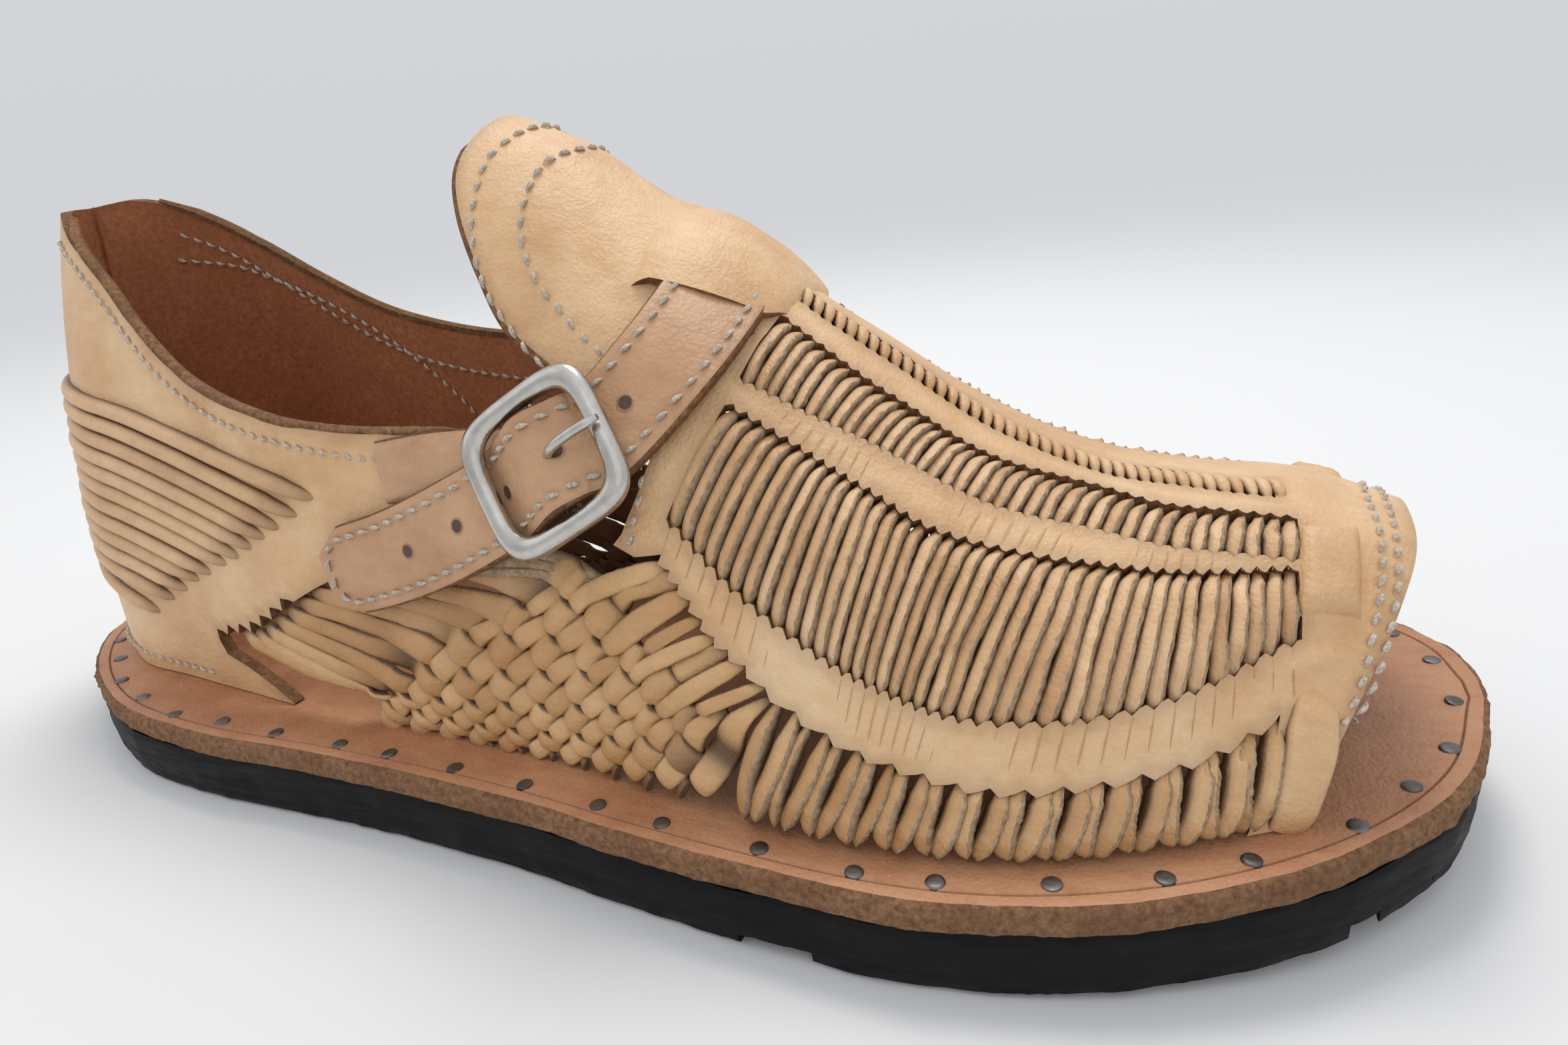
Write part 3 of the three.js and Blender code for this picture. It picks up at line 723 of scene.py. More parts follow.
def row_cutter(name, rows, side, tooth):
    """Closed slab through the leather where a row of strips shows, with a sawtooth on both long edges."""
    last = int(rows["strip"][-1])
    steps = []
    for k in range(last + 1):
        steps += [(k - 0.45, 0.0), (k - 0.05, 1.0), (k + 0.25, 0.2)]
    steps.append((last + 0.5, 0.0))
    loops = []
    across = np.linspace(0, 1, 9)[:, None]
    for k, reach in steps:
        top, foot = row_ends(rows, np.clip(k, 0, last), side)
        shift = (k - np.clip(k, 0, last)) * 2.4
        line = top + (foot - top) * across
        length = np.linalg.norm(upper_point(*foot) - upper_point(*top))
        grow = tooth * reach / length
        line = line + (line - line.mean(0)) * 2 * grow
        line[:, 0] += shift
        loops.append(slab_loop(line[:, 0], line[:, 1], 3.0, -4.5))
    return lofted(name, loops, EDGE_LOOK)


# Creases worn into the leather: two ends as (x, turn) on the outer side, half width, and depth.
CREASES = [
    ((156, 0.47), (171, 0.37), 2.6, 0.45), ((160, 0.50), (172, 0.43), 2.2, 0.35),
    ((154, 0.40), (166, 0.33), 2.4, 0.35), ((150, 0.36), (160, 0.30), 2.0, 0.3),
    ((164, 0.35), (172, 0.31), 1.8, 0.35), ((148, 0.45), (151, 0.37), 2.2, 0.3),
    ((170, 0.30), (176, 0.24), 2.0, 0.4), ((268, 0.22), (275, 0.235), 1.6, 0.4),
    ((267, 0.17), (274, 0.17), 1.8, 0.35), ((110, 0.21), (126, 0.23), 2.6, 0.35),
    ((72, 0.17), (96, 0.19), 3.0, 0.3), ((30, 0.27), (52, 0.25), 2.8, 0.3),
]
TURN_LENGTH = 95.0  # millimetres for one unit of turn, about half the section's length


def crease_depth(x, turn):
    """Soft troughs with a low ridge on both sides, the same on the inner side."""
    turn = np.minimum(turn, 1 - turn)
    scale = TURN_LENGTH
    depth = np.zeros_like(x)
    for (x0, t0), (x1, t1), half, deep in CREASES:
        a, b = np.array([x0, t0 * scale]), np.array([x1, t1 * scale])
        way = b - a
        share = ((x - a[0]) * way[0] + (turn * scale - a[1]) * way[1]) / np.dot(way, way)
        held = np.clip(share, 0, 1)
        apart = np.hypot(x - a[0] - held * way[0], turn * scale - a[1] - held * way[1]) / half
        fade = np.sin(math.pi * np.clip(held, 0.06, 0.94))
        depth += deep * fade * (np.exp(-(apart**2)) - 0.45 * np.exp(-((apart - 1.7) ** 2)))
    return depth


def leather_relief(x, turn):
    """The leather's soft waves and the creases worn into it."""
    rng = np.random.default_rng(5)
    wave = np.zeros_like(x)
    for _ in range(14):
        fx, ft, phase = rng.uniform(0.03, 0.16), rng.uniform(8, 40), rng.uniform(0, 6.3)
        wave += 0.04 * np.sin(fx * x * 2 + ft * turn + phase)
    return wave - crease_depth(x, turn)


def build_upper():
    shell = upper_form("upper_leather", 0, UPPER_FRONT, 0, 1.4, 170, LEATHER_LOOK, leather_relief)
    hollow = upper_form("hollow", WALL, UPPER_FRONT + 6, 6, 4, 70, INSIDE_LOOK)
    cutters = [
        hollow,
        prism("rim", rim_outline(), EDGE_LOOK, RIM_TILT),
        prism("mouth", mouth_outline(), EDGE_LOOK),
        prism("outer_window", window_outline(), EDGE_LOOK, high=-8),
        prism("inner_window", window_outline(), EDGE_LOOK, low=8),
    ]
    for side in (OUTER, INNER):
        cutters.append(row_cutter("wide_slot", WIDE_ROW, side, 1.0))
        cutters.append(row_cutter("middle_slot", MIDDLE_ROW, side, 0.8))
    cutters.append(centre_cutter())
    cutters.append(strap_form("strap_way", GAP, [EDGE_LOOK]))
    cut(shell, cutters)
    finish_shell(shell)
    return ride(shell, "upper", "upper")


EDGE_SHADE_AND_WEAR = {"reach": 2.2, "shade": 0.72, "rest": 0.28}  # painted shade and wear darken the leather this close to a cut edge


def finish_shell(shell):
    """Smooth shading, and a shade value that darkens the leather close to its cut edges: painted shade and
    wear.
    """
    mesh = shell.data
    shade_smooth(mesh, 35)
    count = len(mesh.vertices)
    co = np.empty(count * 3)
    mesh.vertices.foreach_get("co", co)
    co = co.reshape(-1, 3) / MM
    edge_slots = [i for i, m in enumerate(mesh.materials) if m == EDGE_LOOK]
    rim = {i for face in mesh.polygons if face.material_index in edge_slots for i in face.vertices}
    tree = KDTree(len(rim))
    for i in rim:
        tree.insert(Vector(co[i]), i)
    tree.balance()
    apart = np.array([tree.find(Vector(place))[2] for place in co])
    shade = EDGE_SHADE_AND_WEAR["shade"] + EDGE_SHADE_AND_WEAR["rest"] * np.minimum(1.0, apart / EDGE_SHADE_AND_WEAR["reach"])
    set_attribute(shell, "shade", shade)
    set_attribute(shell, "tone", np.full(count, 0.62))


# ---- strips laid on the upper ----
FOLD_PROFILE = [  # across a folded strip: place, height, shade, and whether the face after it is a cut edge
    (-1.0, -1.5, 0.0, 0), (-0.9, -0.5, 0.12, 0), (-0.62, 0.05, 0.85, 0), (-0.15, 0.3, 1.0, 0),
    (0.2, 0.42, 1.0, 0), (0.36, 0.62, 1.0, 1), (0.55, 0.68, 1.0, 1), (0.72, 0.42, 0.8, 1),
    (0.88, -0.3, 0.12, 1), (1.0, -1.5, 0.0, 0),
]
FLAT_PROFILE = [
    (-0.97, -0.75, 0.0, 1), (-1.0, 0.05, 0.35, 1), (-0.93, 0.46, 0.8, 0), (-0.78, 0.72, 1.0, 0),
    (-0.4, 0.98, 1.0, 0), (0.0, 1.06, 1.0, 0), (0.4, 0.98, 1.0, 0), (0.78, 0.72, 1.0, 0),
    (0.93, 0.46, 0.8, 0), (1.0, 0.05, 0.35, 1), (0.97, -0.75, 0.0, 0),
]
ROUND_PROFILE = [
    (-1.0, -0.9, 0.0, 0), (-0.97, 0.0, 0.15, 0), (-0.8, 0.7, 0.85, 0), (-0.4, 0.98, 1.0, 0),
    (0.0, 1.02, 1.0, 0), (0.4, 0.9, 1.0, 0), (0.8, 0.55, 0.8, 0), (0.97, -0.1, 0.1, 0), (1.0, -0.9, 0.0, 0),
]
RIM_PROFILE = [
    (-1.0, -0.75, 0.2, 1), (-1.0, 0.4, 0.8, 1), (-0.85, 0.75, 0.95, 1), (-0.35, 0.9, 1.0, 1),
    (-0.28, 0.66, 0.5, 1), (-0.2, 0.9, 1.0, 1), (0.3, 0.9, 1.0, 1), (0.38, 0.66, 0.5, 1),
    (0.46, 0.9, 1.0, 1), (0.9, 0.7, 0.95, 1), (1.0, 0.3, 0.75, 1), (1.0, -0.75, 0.2, 1),
]
FRAY_PROFILE = [
    (-0.5, -1.0, 0.7, 0), (-0.9, -0.5, 0.8, 0), (-1.0, 0.2, 1.0, 0), (-0.7, 0.85, 1.0, 0),
    (-0.2, 1.06, 0.9, 0), (0.3, 0.9, 0.8, 0), (0.6, 0.0, 0.6, 0), (0.4, -0.9, 0.6, 0),
]
STRAP_PROFILE = [
    (-1.0, -1.0, 0.5, 1), (-1.0, 0.45, 0.8, 1), (-0.955, 0.86, 0.9, 0), (-0.86, 1.0, 1.0, 0),
    (-0.76, 0.93, 0.9, 0), (-0.66, 0.93, 0.9, 0), (-0.56, 1.0, 1.0, 0), (0.0, 1.04, 1.0, 0),
    (0.56, 1.0, 1.0, 0), (0.66, 0.93, 0.9, 0), (0.76, 0.93, 0.9, 0), (0.86, 1.0, 1.0, 0),
    (0.955, 0.86, 0.9, 1), (1.0, 0.45, 0.8, 1), (1.0, -1.0, 0.5, 0),
]
CUTTER_PROFILE = [(-1.0, -1.0, 1, 0), (-1.0, 1.0, 1, 0), (1.0, 1.0, 1, 0), (1.0, -1.0, 1, 0)]


def lay_strip(builder, path, out, half, profile, **manner):
    """Lays one strip along a path of (x, turn) on the upper. out and half are its height and half width."""
    point, normal = skin(path[:, 0], path[:, 1], out)
    sweep_strip(builder, point, normal, half, profile, **manner)


def sweep_strip(
    builder, point, normal, half, profile, thick=1.0, tone=0.5, ends=(0.3, 0.3), rng=None, toward_toe=False,
    shift=None, fuzz=0.0, bright=None,
):
    """One strip with a given profile through points with outward normals.

    ends are its painted shades at both ends, toward_toe turns its profile's end to the toe, shift moves it
    sideways, fuzz roughens its cut edges, and bright darkens it with painted shade on the way.
    """
    tangent = unit(np.gradient(point, axis=0))
    across = unit(np.cross(tangent, normal))
    if toward_toe and across[:, 0].mean() < 0:
        across = -across
    up = unit(np.cross(across, tangent))
    up *= np.sign(np.sum(up * normal, -1, keepdims=True))
    if shift is not None:
        point = point + across * shift[:, None]
    u = np.array([row[0] for row in profile])
    h = np.array([row[1] for row in profile]) * thick
    shade = np.array([row[2] for row in profile])
    slots = [row[3] for row in profile]
    narrow = np.minimum(1, half / half.max()) ** 0.5
    height = h[None, :] * narrow[:, None]
    wide = u[None, :] * half[:, None]
    if fuzz and rng is not None:
        rough = np.array([row[3] for row in profile]) > 0
        height[:, rough] += rng.normal(0, fuzz, (len(point), int(rough.sum())))
        wide[:, rough] += rng.normal(0, fuzz, (len(point), int(rough.sum())))
    loops = point[:, None] + across[:, None] * wide[..., None] + up[:, None] * height[..., None]
    rows, count = loops.shape[:2]
    faces, kinds = tube_faces(rows, count, lambda i: slots[i])
    flat = loops.reshape(-1, 3)
    t = np.linspace(0, 1, rows)
    # painted shade: the strip darkens toward its ends, where it goes under, and where bright dims it
    fade = np.minimum(1, ends[0] + t / 0.12) * np.minimum(1, ends[1] + (1 - t) / 0.12)
    if bright is not None:
        fade = fade * bright
    shades = (shade[None, :] * fade[:, None]).reshape(-1)
    sample = loops[[0, rows // 2, -1]]
    face_normal = np.cross(sample[1, 1] - sample[1, 0], tangent[rows // 2])
    turned = np.dot(face_normal, sample[1].mean(0) - sample[1, 1])
    builder.add(flat, faces if turned > 0 else [f[::-1] for f in faces], kinds, shades, tone)


def taper(t, start, end, power=0.6):
    """1 along a strip, falling to 0 at its pointed ends over the shares start and end of its length."""
    a = np.clip(t / start, 0, 1) if start else np.ones_like(t)
    b = np.clip((1 - t) / end, 0, 1) if end else np.ones_like(t)
    return np.maximum(0.06, a**power * b**power)


def own_tone(rng, middle, spread):
    """A strip's own tone."""
    return float(np.clip(rng.normal(middle, spread), 0, 1))


def on_path(top, foot, t):
    return top + (foot - top) * t[:, None]


def row_of_folds(name, rows, step, proud, seed):
    """A row of folded strips that come out from under one band of the vamp and go under the next."""
    rng = np.random.default_rng(seed)
    builder = Builder()
    last = int(rows["strip"][-1])
    for side in (OUTER, INNER):
        for k in range(last + 1):
            top, foot = row_ends(rows, k, side)
            length = np.linalg.norm(upper_point(*top) - upper_point(*foot))
            t = np.linspace(0, 1, max(14, int(length / step)))
            reach = 1.9 / length
            path = on_path(top, foot, t * (1 + 2 * reach) - reach)
            half = 0.5 * pitch_of(rows, k, side, t)
            narrowing = np.maximum(0.62, taper(t, 2.6 / length, 2.2 / length, 0.7))
            half = half * (1.16 + 0.05 * rng.normal()) * narrowing
            wobble = np.interp(t, np.linspace(0, 1, 6), rng.normal(0, 0.16, 6))
            rise = [(0, -1.7), (1.6 / length, -0.9), (4.5 / length, proud)]
            fall = [(1 - 4 / length, proud), (1 - 1.4 / length, -0.8), (1, -1.7)]
            out = course(t, rise + fall) + wobble
            lean = half.max() * 0.55 * course(t, [(0, 1), (3.5 / length, 0), (1, 0)]) + wobble * 0.8
            tone = own_tone(rng, 0.42, 0.26)
            lay_strip(
                builder, path, out, half, FOLD_PROFILE,
                tone=tone, ends=(0.35, 0.35), rng=rng, toward_toe=True, shift=lean, fuzz=0.075,
            )
    obj = builder.make(name, [FOLD_LOOK, NAP_LOOK])
    return ride(obj, "upper")


def pitch_of(rows, k, side, t):
    """Distance between neighbours of strip k, square to it, at shares t of its length."""
    last = rows["strip"][-1]
    low, high = max(0, k - 0.5), min(last, k + 0.5)
    before = upper_point(*on_path(*row_ends(rows, low, side), t).T)
    after = upper_point(*on_path(*row_ends(rows, high, side), t).T)
    middle = upper_point(*on_path(*row_ends(rows, k, side), t).T)
    apart = (after - before) / (high - low)
    return np.linalg.norm(square_to(apart, unit(np.gradient(middle, axis=0))), axis=-1)


LEAF_HEIGHT = [(0, -2.4), (0.1, -1.4), (0.3, 0.2), (0.7, 0.9), (0.92, 0.0), (1, -1.2)]
PAIR_COUNT = 14


def leaf_pairs():
    """The lower row: pairs of folded leaves from the vamp's edge into one slit of the footbed each."""
    rng = np.random.default_rng(8)
    builder = Builder()
    for side in (OUTER, INNER):
        for pair in range(PAIR_COUNT):
            foot_x = float(along(LEAF_PAIRS, "foot_x", pair, "pair"))
            for which, offset in (("back", -1.15), ("front", 1.15)):
                tip_x = float(along(LEAF_PAIRS, which + "_x", pair, "pair"))
                tip_z = float(along(LEAF_PAIRS, which + "_z", pair, "pair"))
                tip = np.array([tip_x + 0.4, turn_at(tip_x, tip_z + 1.3, side)])
                foot_turn = turn_at(foot_x, FOOTBED_TOP + float(lift(foot_x)) + 0.2, side)
                foot = np.array([foot_x + offset * 0.55, foot_turn])
                t = np.linspace(0, 1, 34)
                path = on_path(tip, foot, t)
                path[:, 0] += 0.8 * offset * np.sin(math.pi * t) ** 1.2
                widest = 1.75 + 0.35 * max(0, 2 - pair) / 2
                half = widest * taper(t, 0.34, 0.16, 0.75) * (1 + 0.1 * rng.normal())
                tone = own_tone(rng, 0.24, 0.22)
                lay_strip(
                    builder, path, course(t, LEAF_HEIGHT), half, FOLD_PROFILE,
                    thick=1.15, tone=tone, ends=(0.35, 0.1), rng=rng, toward_toe=True, fuzz=0.07,
                )
    return ride(builder.make("lower_row", [WOVEN_LOOK, NAP_LOOK]), "upper")


def weave_place(h, v, side):
    """Place of a crossing of the woven panel as (x, turn)."""
    x = along(WEAVE, "x", v, "row") + along(WEAVE, "pitch", v, "row") * h
    z = along(WEAVE, "z", v, "row") + along(WEAVE, "rise", v, "row") * h
    z = z + along(WEAVE, "bend", v, "row") * h * h
    z = np.maximum(z, FOOTBED_TOP + lift(x) - 1.0)
    return np.stack([x, turn_at(x, z, side)], -1)


def weave_pitch(h, v, falling, side):
    """Distance between neighbouring strips of one family at a crossing, square to the strip."""
    sign = 1 if falling else -1
    d = 0.25
    before = upper_point(*weave_place(h - d, v + d * sign, side).T)
    after = upper_point(*weave_place(h + d, v - d * sign, side).T)
    back = upper_point(*weave_place(h - d, v - d * sign, side).T)
    ahead = upper_point(*weave_place(h + d, v + d * sign, side).T)
    return np.linalg.norm(square_to(after - before, unit(ahead - back)), axis=-1)


WEAVE_LEVEL = -1.25  # middle of the woven strips, below the leather's face
WEAVE_SWING = 1.1  # how far a strip rises over one neighbour and dips under the next


WEAVE_STEP = 0.05  # between places along a woven strip, in rows
WEAVE_FOOT = 6.45  # row at which the strips go under the panel's lower edge


def woven_strip(builder, rng, place, out, half, tone, ends):
    """Lays one strip of the panel, with painted shade where it dips under a neighbour."""
    # painted shade: the deeper the strip lies under its neighbours, the darker it is
    bright = course(out, [(-2.2, 0.12), (-1.5, 0.7), (-0.7, 1.0)])
    lay_strip(
        builder, place, out, half, FLAT_PROFILE,
        thick=0.95, tone=tone, ends=ends, rng=rng, fuzz=0.05, bright=bright,
    )


def falling_strips(builder, rng, side):
    """Strips that fall toward the toe, each with the thong that leads it from the quarter."""
    for n, start in FALLING_STARTS.items():
        top = max(0.35, -n * 0.42 + 0.9) if n < 1 else 0.35
        v = np.arange(top, WEAVE_FOOT, WEAVE_STEP)
        h = n + v
        place = weave_place(h, v, side)
        keep = (place[:, 0] < 193 - 1.2 * v) & (h > -4.6)
        v, h, place = v[keep], h[keep], place[keep]
        if len(v) < 5:
            continue
        out = WEAVE_LEVEL - WEAVE_SWING * np.cos(2 * math.pi * v)
        half = 0.5 * weave_pitch(h, v, True, side) * 0.97
        first = spot(*start, side)
        gap = np.linalg.norm(upper_point(*first) - upper_point(*place[0]))
        if gap > 4:
            t = np.linspace(0, 1, int(gap / 0.7), endpoint=False)
            slope = (place[2] - place[0]) / 2 * (gap / 0.35) * 0.16
            bent = on_path(first, place[0], t) - slope * (t * (1 - t))[:, None]
            thong_out = course(t, [(0, -2.6), (0.06, -1.6), (0.2, -0.7), (0.75, -0.9), (1, out[0])])
            thong_half = course(t, [(0, 1.3), (0.15, 1.75), (0.7, 1.9), (1, half[0])])
            place = np.vstack([bent, place])
            out, half = np.r_[thong_out, out], np.r_[thong_half, half]
        woven_strip(builder, rng, place, out, half, own_tone(rng, 0.34, 0.22), (0.2, 0.2))


def rising_strips(builder, rng, side):
    """Strips that rise toward the toe. Those in front end as leaves under the vamp's edge."""
    for m in range(2, 13):
        v = np.arange(WEAVE_FOOT, RISING_ENDS.get(m, RISING_END) - 0.01, -WEAVE_STEP)
        h = m - v
        place = weave_place(h, v, side)
        keep = place[:, 0] < 200
        v, h, place = v[keep], h[keep], place[keep]
        out = WEAVE_LEVEL + WEAVE_SWING * np.cos(2 * math.pi * v)
        half = 0.5 * weave_pitch(h, v, False, side) * 0.98
        if m in RISING_TIPS:
            tip_x, tip_z = RISING_TIPS[m]
            end = np.array([tip_x + 0.6, turn_at(tip_x, tip_z + 0.5, side)])
            gap = np.linalg.norm(upper_point(*end) - upper_point(*place[-1]))
            t = np.linspace(0, 1, max(6, int(gap / 0.5)) + 1)[1:]
            leaf = on_path(place[-1], end, t)
            high = 0.55 if m in PROUD_LEAVES else -0.7
            leaf_out = course(t, [(0, out[-1]), (0.25, high), (0.7, high - 0.4), (0.9, -1.6), (1, -2.3)])
            leaf_half = half[-1] * course(t, [(0, 1), (0.35, 1.08), (0.75, 0.92), (0.93, 0.55), (1, 0.1)])
            place, out, half = np.vstack([place, leaf]), np.r_[out, leaf_out], np.r_[half, leaf_half]
        woven_strip(builder, rng, place, out, half, own_tone(rng, 0.42, 0.24), (0.15, 0.6))


def woven_panel():
    rng = np.random.default_rng(12)
    builder = Builder()
    for side in (OUTER, INNER):
        falling_strips(builder, rng, side)
        rising_strips(builder, rng, side)
    return ride(builder.make("woven_panels", [WOVEN_LOOK, NAP_LOOK]), "upper")


# ---- heel, centre row and other leather details ----
HEEL_RIB_TIPS = [  # front ends of the heel's ribs
    (108.9, 59.3), (104.1, 56.3), (99.3, 53.2), (94.5, 51), (90.1, 48.6), (85.3, 46.2), (80.5, 44.2),
    (74.5, 41.7), (69.7, 39.7), (64.1, 37.1), (58.1, 34), (51.3, 29.8),
]
HEEL_RIB_BACK = {"top": 78, "pitch": 3.5}


RIB_STEP = 1.1
INSIDE_HEEL = np.array([60.0, -4.0, 60.0])  # a place inside the heel, that outward normals turn away from


def round_heel(front_x, front_z, back_z):
    """Points and normals of a line round the heel from the outer to the inner side."""
    angles = np.linspace(math.pi / 2, 0.02, 34)
    x = np.r_[np.arange(front_x, HEEL["x"], -RIB_STEP), HEEL["x"] - HEEL["depth"] * np.cos(angles)]
    share = np.clip((x - 10) / (front_x - 10), 0, 1)
    z = back_z + (front_z - back_z) * (0.35 * share + 0.65 * share**1.8)
    outer, inner = (np.stack([x, turn_at(x, z, side)], -1) for side in (OUTER, INNER))
    path = np.vstack([outer, inner[::-1]])
    point = spaced(upper_point(path[:, 0], path[:, 1]), RIB_STEP)
    rising = upper_point(path[:, 0], path[:, 1] + 0.01) - upper_point(path[:, 0], path[:, 1] - 0.01)
    rising[len(x) :] *= -1
    rising = sampled(np.linspace(0, 1, len(point)), np.linspace(0, 1, len(path)), rising)
    normal = unit(np.cross(unit(np.gradient(point, axis=0)), unit(rising)))
    return point, normal * np.sign(np.sum(normal * (point - INSIDE_HEEL), -1, keepdims=True))


def heel_ribs():
    rng = np.random.default_rng(21)
    builder = Builder()
    for i, (front_x, front_z) in enumerate(HEEL_RIB_TIPS):
        back_z = HEEL_RIB_BACK["top"] - HEEL_RIB_BACK["pitch"] * i
        point, normal = round_heel(front_x, front_z, back_z)
        t = np.linspace(0, 1, len(point))
        reach = 9.0 / (len(point) * RIB_STEP)
        ends = np.minimum(t, 1 - t)
        out = np.interp(ends, [0, 0.4 * reach, reach], [-1.3, 0.1, 0.45]) + 0.12 * rng.normal()
        half = 1.78 * np.interp(ends, [0, 0.3 * reach, reach], [0.15, 0.65, 1.0])
        wobble = np.interp(t, np.linspace(0, 1, 9), rng.normal(0, 0.14, 9))
        sweep_strip(
            builder, point + normal * out[:, None], normal, half, ROUND_PROFILE,
            thick=1.3, tone=own_tone(rng, 0.4, 0.18), ends=(0.5, 0.5), rng=rng, shift=wobble, fuzz=0.03,
        )
    return ride(builder.make("heel_ribs", [FOLD_LOOK]), "upper")


def turn_across(x, y):
    """The turn of the upper's face at (x, y), near the ridge."""
    ridge_y = along(SECTIONS, "ridge_y", x)
    side = "outer" if y < ridge_y else "inner"
    share = abs(y - ridge_y) / abs(float(along(SECTIONS, side, x)) - ridge_y)
    angle = math.acos(min(1.0, share ** (1 / float(along(SECTIONS, "lean", x)))))
    return angle / math.pi if y < ridge_y else 1 - angle / math.pi


CENTRE_ROW = {"start": 192, "end": 265, "outer_y": -3.4, "inner_y": 1.4, "count": 40}


def centre_row():
    """Small slanted loops of a thong laced along the middle of the vamp."""
    rng = np.random.default_rng(31)
    builder = Builder()
    for x in np.linspace(CENTRE_ROW["start"], CENTRE_ROW["end"], CENTRE_ROW["count"]):
        start = np.array([x - 0.9, turn_across(x - 0.9, CENTRE_ROW["inner_y"] + 0.3)])
        end = np.array([x + 1.0, turn_across(x + 1.0, CENTRE_ROW["outer_y"] - 0.3)])
        t = np.linspace(0, 1, 12)
        path = on_path(start, end, t)
        out = course(t, [(0, -1.6), (0.2, -0.1), (0.5, 0.35), (0.8, -0.1), (1, -1.6)])
        half = 0.98 * course(t, [(0, 0.5), (0.3, 1), (0.7, 1), (1, 0.5)]) * (1 + 0.06 * rng.normal())
        lay_strip(
            builder, path, out, half, ROUND_PROFILE,
            thick=0.75, tone=own_tone(rng, 0.5, 0.2), rng=rng, toward_toe=True, fuzz=0.04,
        )
    return ride(builder.make("centre_row", [LEATHER_LOOK]), "upper")


def centre_cutter():
    """A shallow channel along the ridge for the laced row, with a sawtooth on both edges."""
    count = CENTRE_ROW["count"]
    step = (CENTRE_ROW["end"] - CENTRE_ROW["start"]) / (count - 1)
    loops = []
    for k in range(count):
        for shift, reach in ((-0.5, 0.0), (-0.05, 0.7)):
            x = CENTRE_ROW["start"] + (k + shift) * step
            ys = np.linspace(CENTRE_ROW["outer_y"] - reach, CENTRE_ROW["inner_y"] + reach, 5)
            turns = np.array([turn_across(x, y) for y in ys])
            loops.append(slab_loop(np.full(len(ys), x), turns, 3.0, -1.3))
    return lofted("centre_slot", loops, EDGE_LOOK)


RIM_STRIP_RUN = [
    (126, 45.5), (134, 48.6), (141, 50.0), (147, 51.1), (153, 51.6), (159, 51.5), (165, 50.4), (172, 47.5),
]
WIDE_STRIP_RUN = [(271.5, 37.5), (270.6, 34), (269.8, 27), (268.9, 21), (268.4, 16.2)]


def flat_strips():
    """The curved strip along the woven panel's rim, and the wide strip at the front of the lower row."""
    builder = Builder()
    rng = np.random.default_rng(41)
    for side in (OUTER, INNER):
        run = spaced(smooth_run(RIM_STRIP_RUN), 1.0)
        run[:, 1] += 3.0 if side == INNER else 0.0
        t = np.linspace(0, 1, len(run))
        out = course(t, [(0, -2.2), (0.12, -0.9), (0.5, -0.4), (0.85, -0.9), (1, -2.2)])
        half = course(t, [(0, 1.2), (0.2, 2.2), (0.5, 2.9), (0.8, 2.4), (1, 1.0)])
        half = half * (1.7 if side == INNER else 1.0)
        lay_strip(
            builder, side_path(run, side), out, half, RIM_PROFILE,
            thick=0.9, tone=0.55, ends=(0.4, 0.3), rng=rng, fuzz=0.04,
        )
        run = spaced(smooth_run(WIDE_STRIP_RUN), 0.8)
        t = np.linspace(0, 1, len(run))
        out = course(t, [(0, -1.6), (0.15, 0.2), (0.4, 1.1), (0.8, 0.9), (1, -0.6)])
        half = course(t, [(0, 2.6), (0.3, 3.5), (0.8, 3.1), (1, 2.6)])
        lay_strip(
            builder, side_path(run, side), out, half, FLAT_PROFILE,
            thick=0.9, tone=0.45, ends=(0.35, 0.3), rng=rng, fuzz=0.03,
        )
    return ride(builder.make("edge_strips", [FOLD_LOOK, NAP_LOOK]), "upper")


KEEPER = {"back": (267.9, 0.250, 0.380), "front": (275.4, 0.256, 0.402)}


def keeper_patches():
    """The square leather keeper where the rows of strips end at the toe, one on each side."""
    builder = Builder()
    rng = np.random.default_rng(51)
    rows, columns = 12, 15
    sides = np.minimum(1, np.minimum(np.linspace(0, 1, columns), np.linspace(1, 0, columns)) / 0.12)
    for side in (OUTER, INNER):
        (x0, low0, high0), (x1, low1, high1) = KEEPER["back"], KEEPER["front"]
        loops = []
        for k in np.linspace(0, 1, rows):
            x = np.full(columns, x0 + (x1 - x0) * k)
            turn = np.linspace(low0 + (low1 - low0) * k, high0 + (high1 - high0) * k, columns)
            turn = turn if side == OUTER else 1 - turn
            ends = min(1.0, min(k, 1 - k) / 0.14)
            out = 0.1 + 1.3 * np.sqrt(sides) * math.sqrt(ends) + 0.05 * rng.normal(size=columns)
            loops.append(slab_loop(x, turn, out, -0.8))
        builder.add_loft(loops, 0.95, 0.6)
    return ride(builder.make("toe_keepers", [LEATHER_LOOK]), "upper")


def score_lines():
    """Fine creases that each strip leaves in the bands of the vamp where it runs underneath."""
    builder = Builder()
    last, middle_last = int(WIDE_ROW["strip"][-1]), int(MIDDLE_ROW["strip"][-1])
    for side in (OUTER, INNER):
        tips = skin(LEAF_TIPS["x"], turn_at(LEAF_TIPS["x"], LEAF_TIPS["z"], side))[0]
        feet = np.array([upper_point(*row_ends(MIDDLE_ROW, k, side)[1]) for k in range(middle_last + 1)])
        for k in range(last + 1):
            top, foot = row_ends(WIDE_ROW, k, side)
            length = np.linalg.norm(upper_point(*top) - upper_point(*foot))
            below = np.linalg.norm(tips - upper_point(*foot), axis=1).min() * 0.9
            crease(builder, foot, foot + (foot - top) * below / length)
            above = np.linalg.norm(feet - upper_point(*top), axis=1).min() * 0.9
            crease(builder, top, top + (top - foot) * above / length)
    return ride(builder.make("score_lines", [LEATHER_LOOK]), "upper")


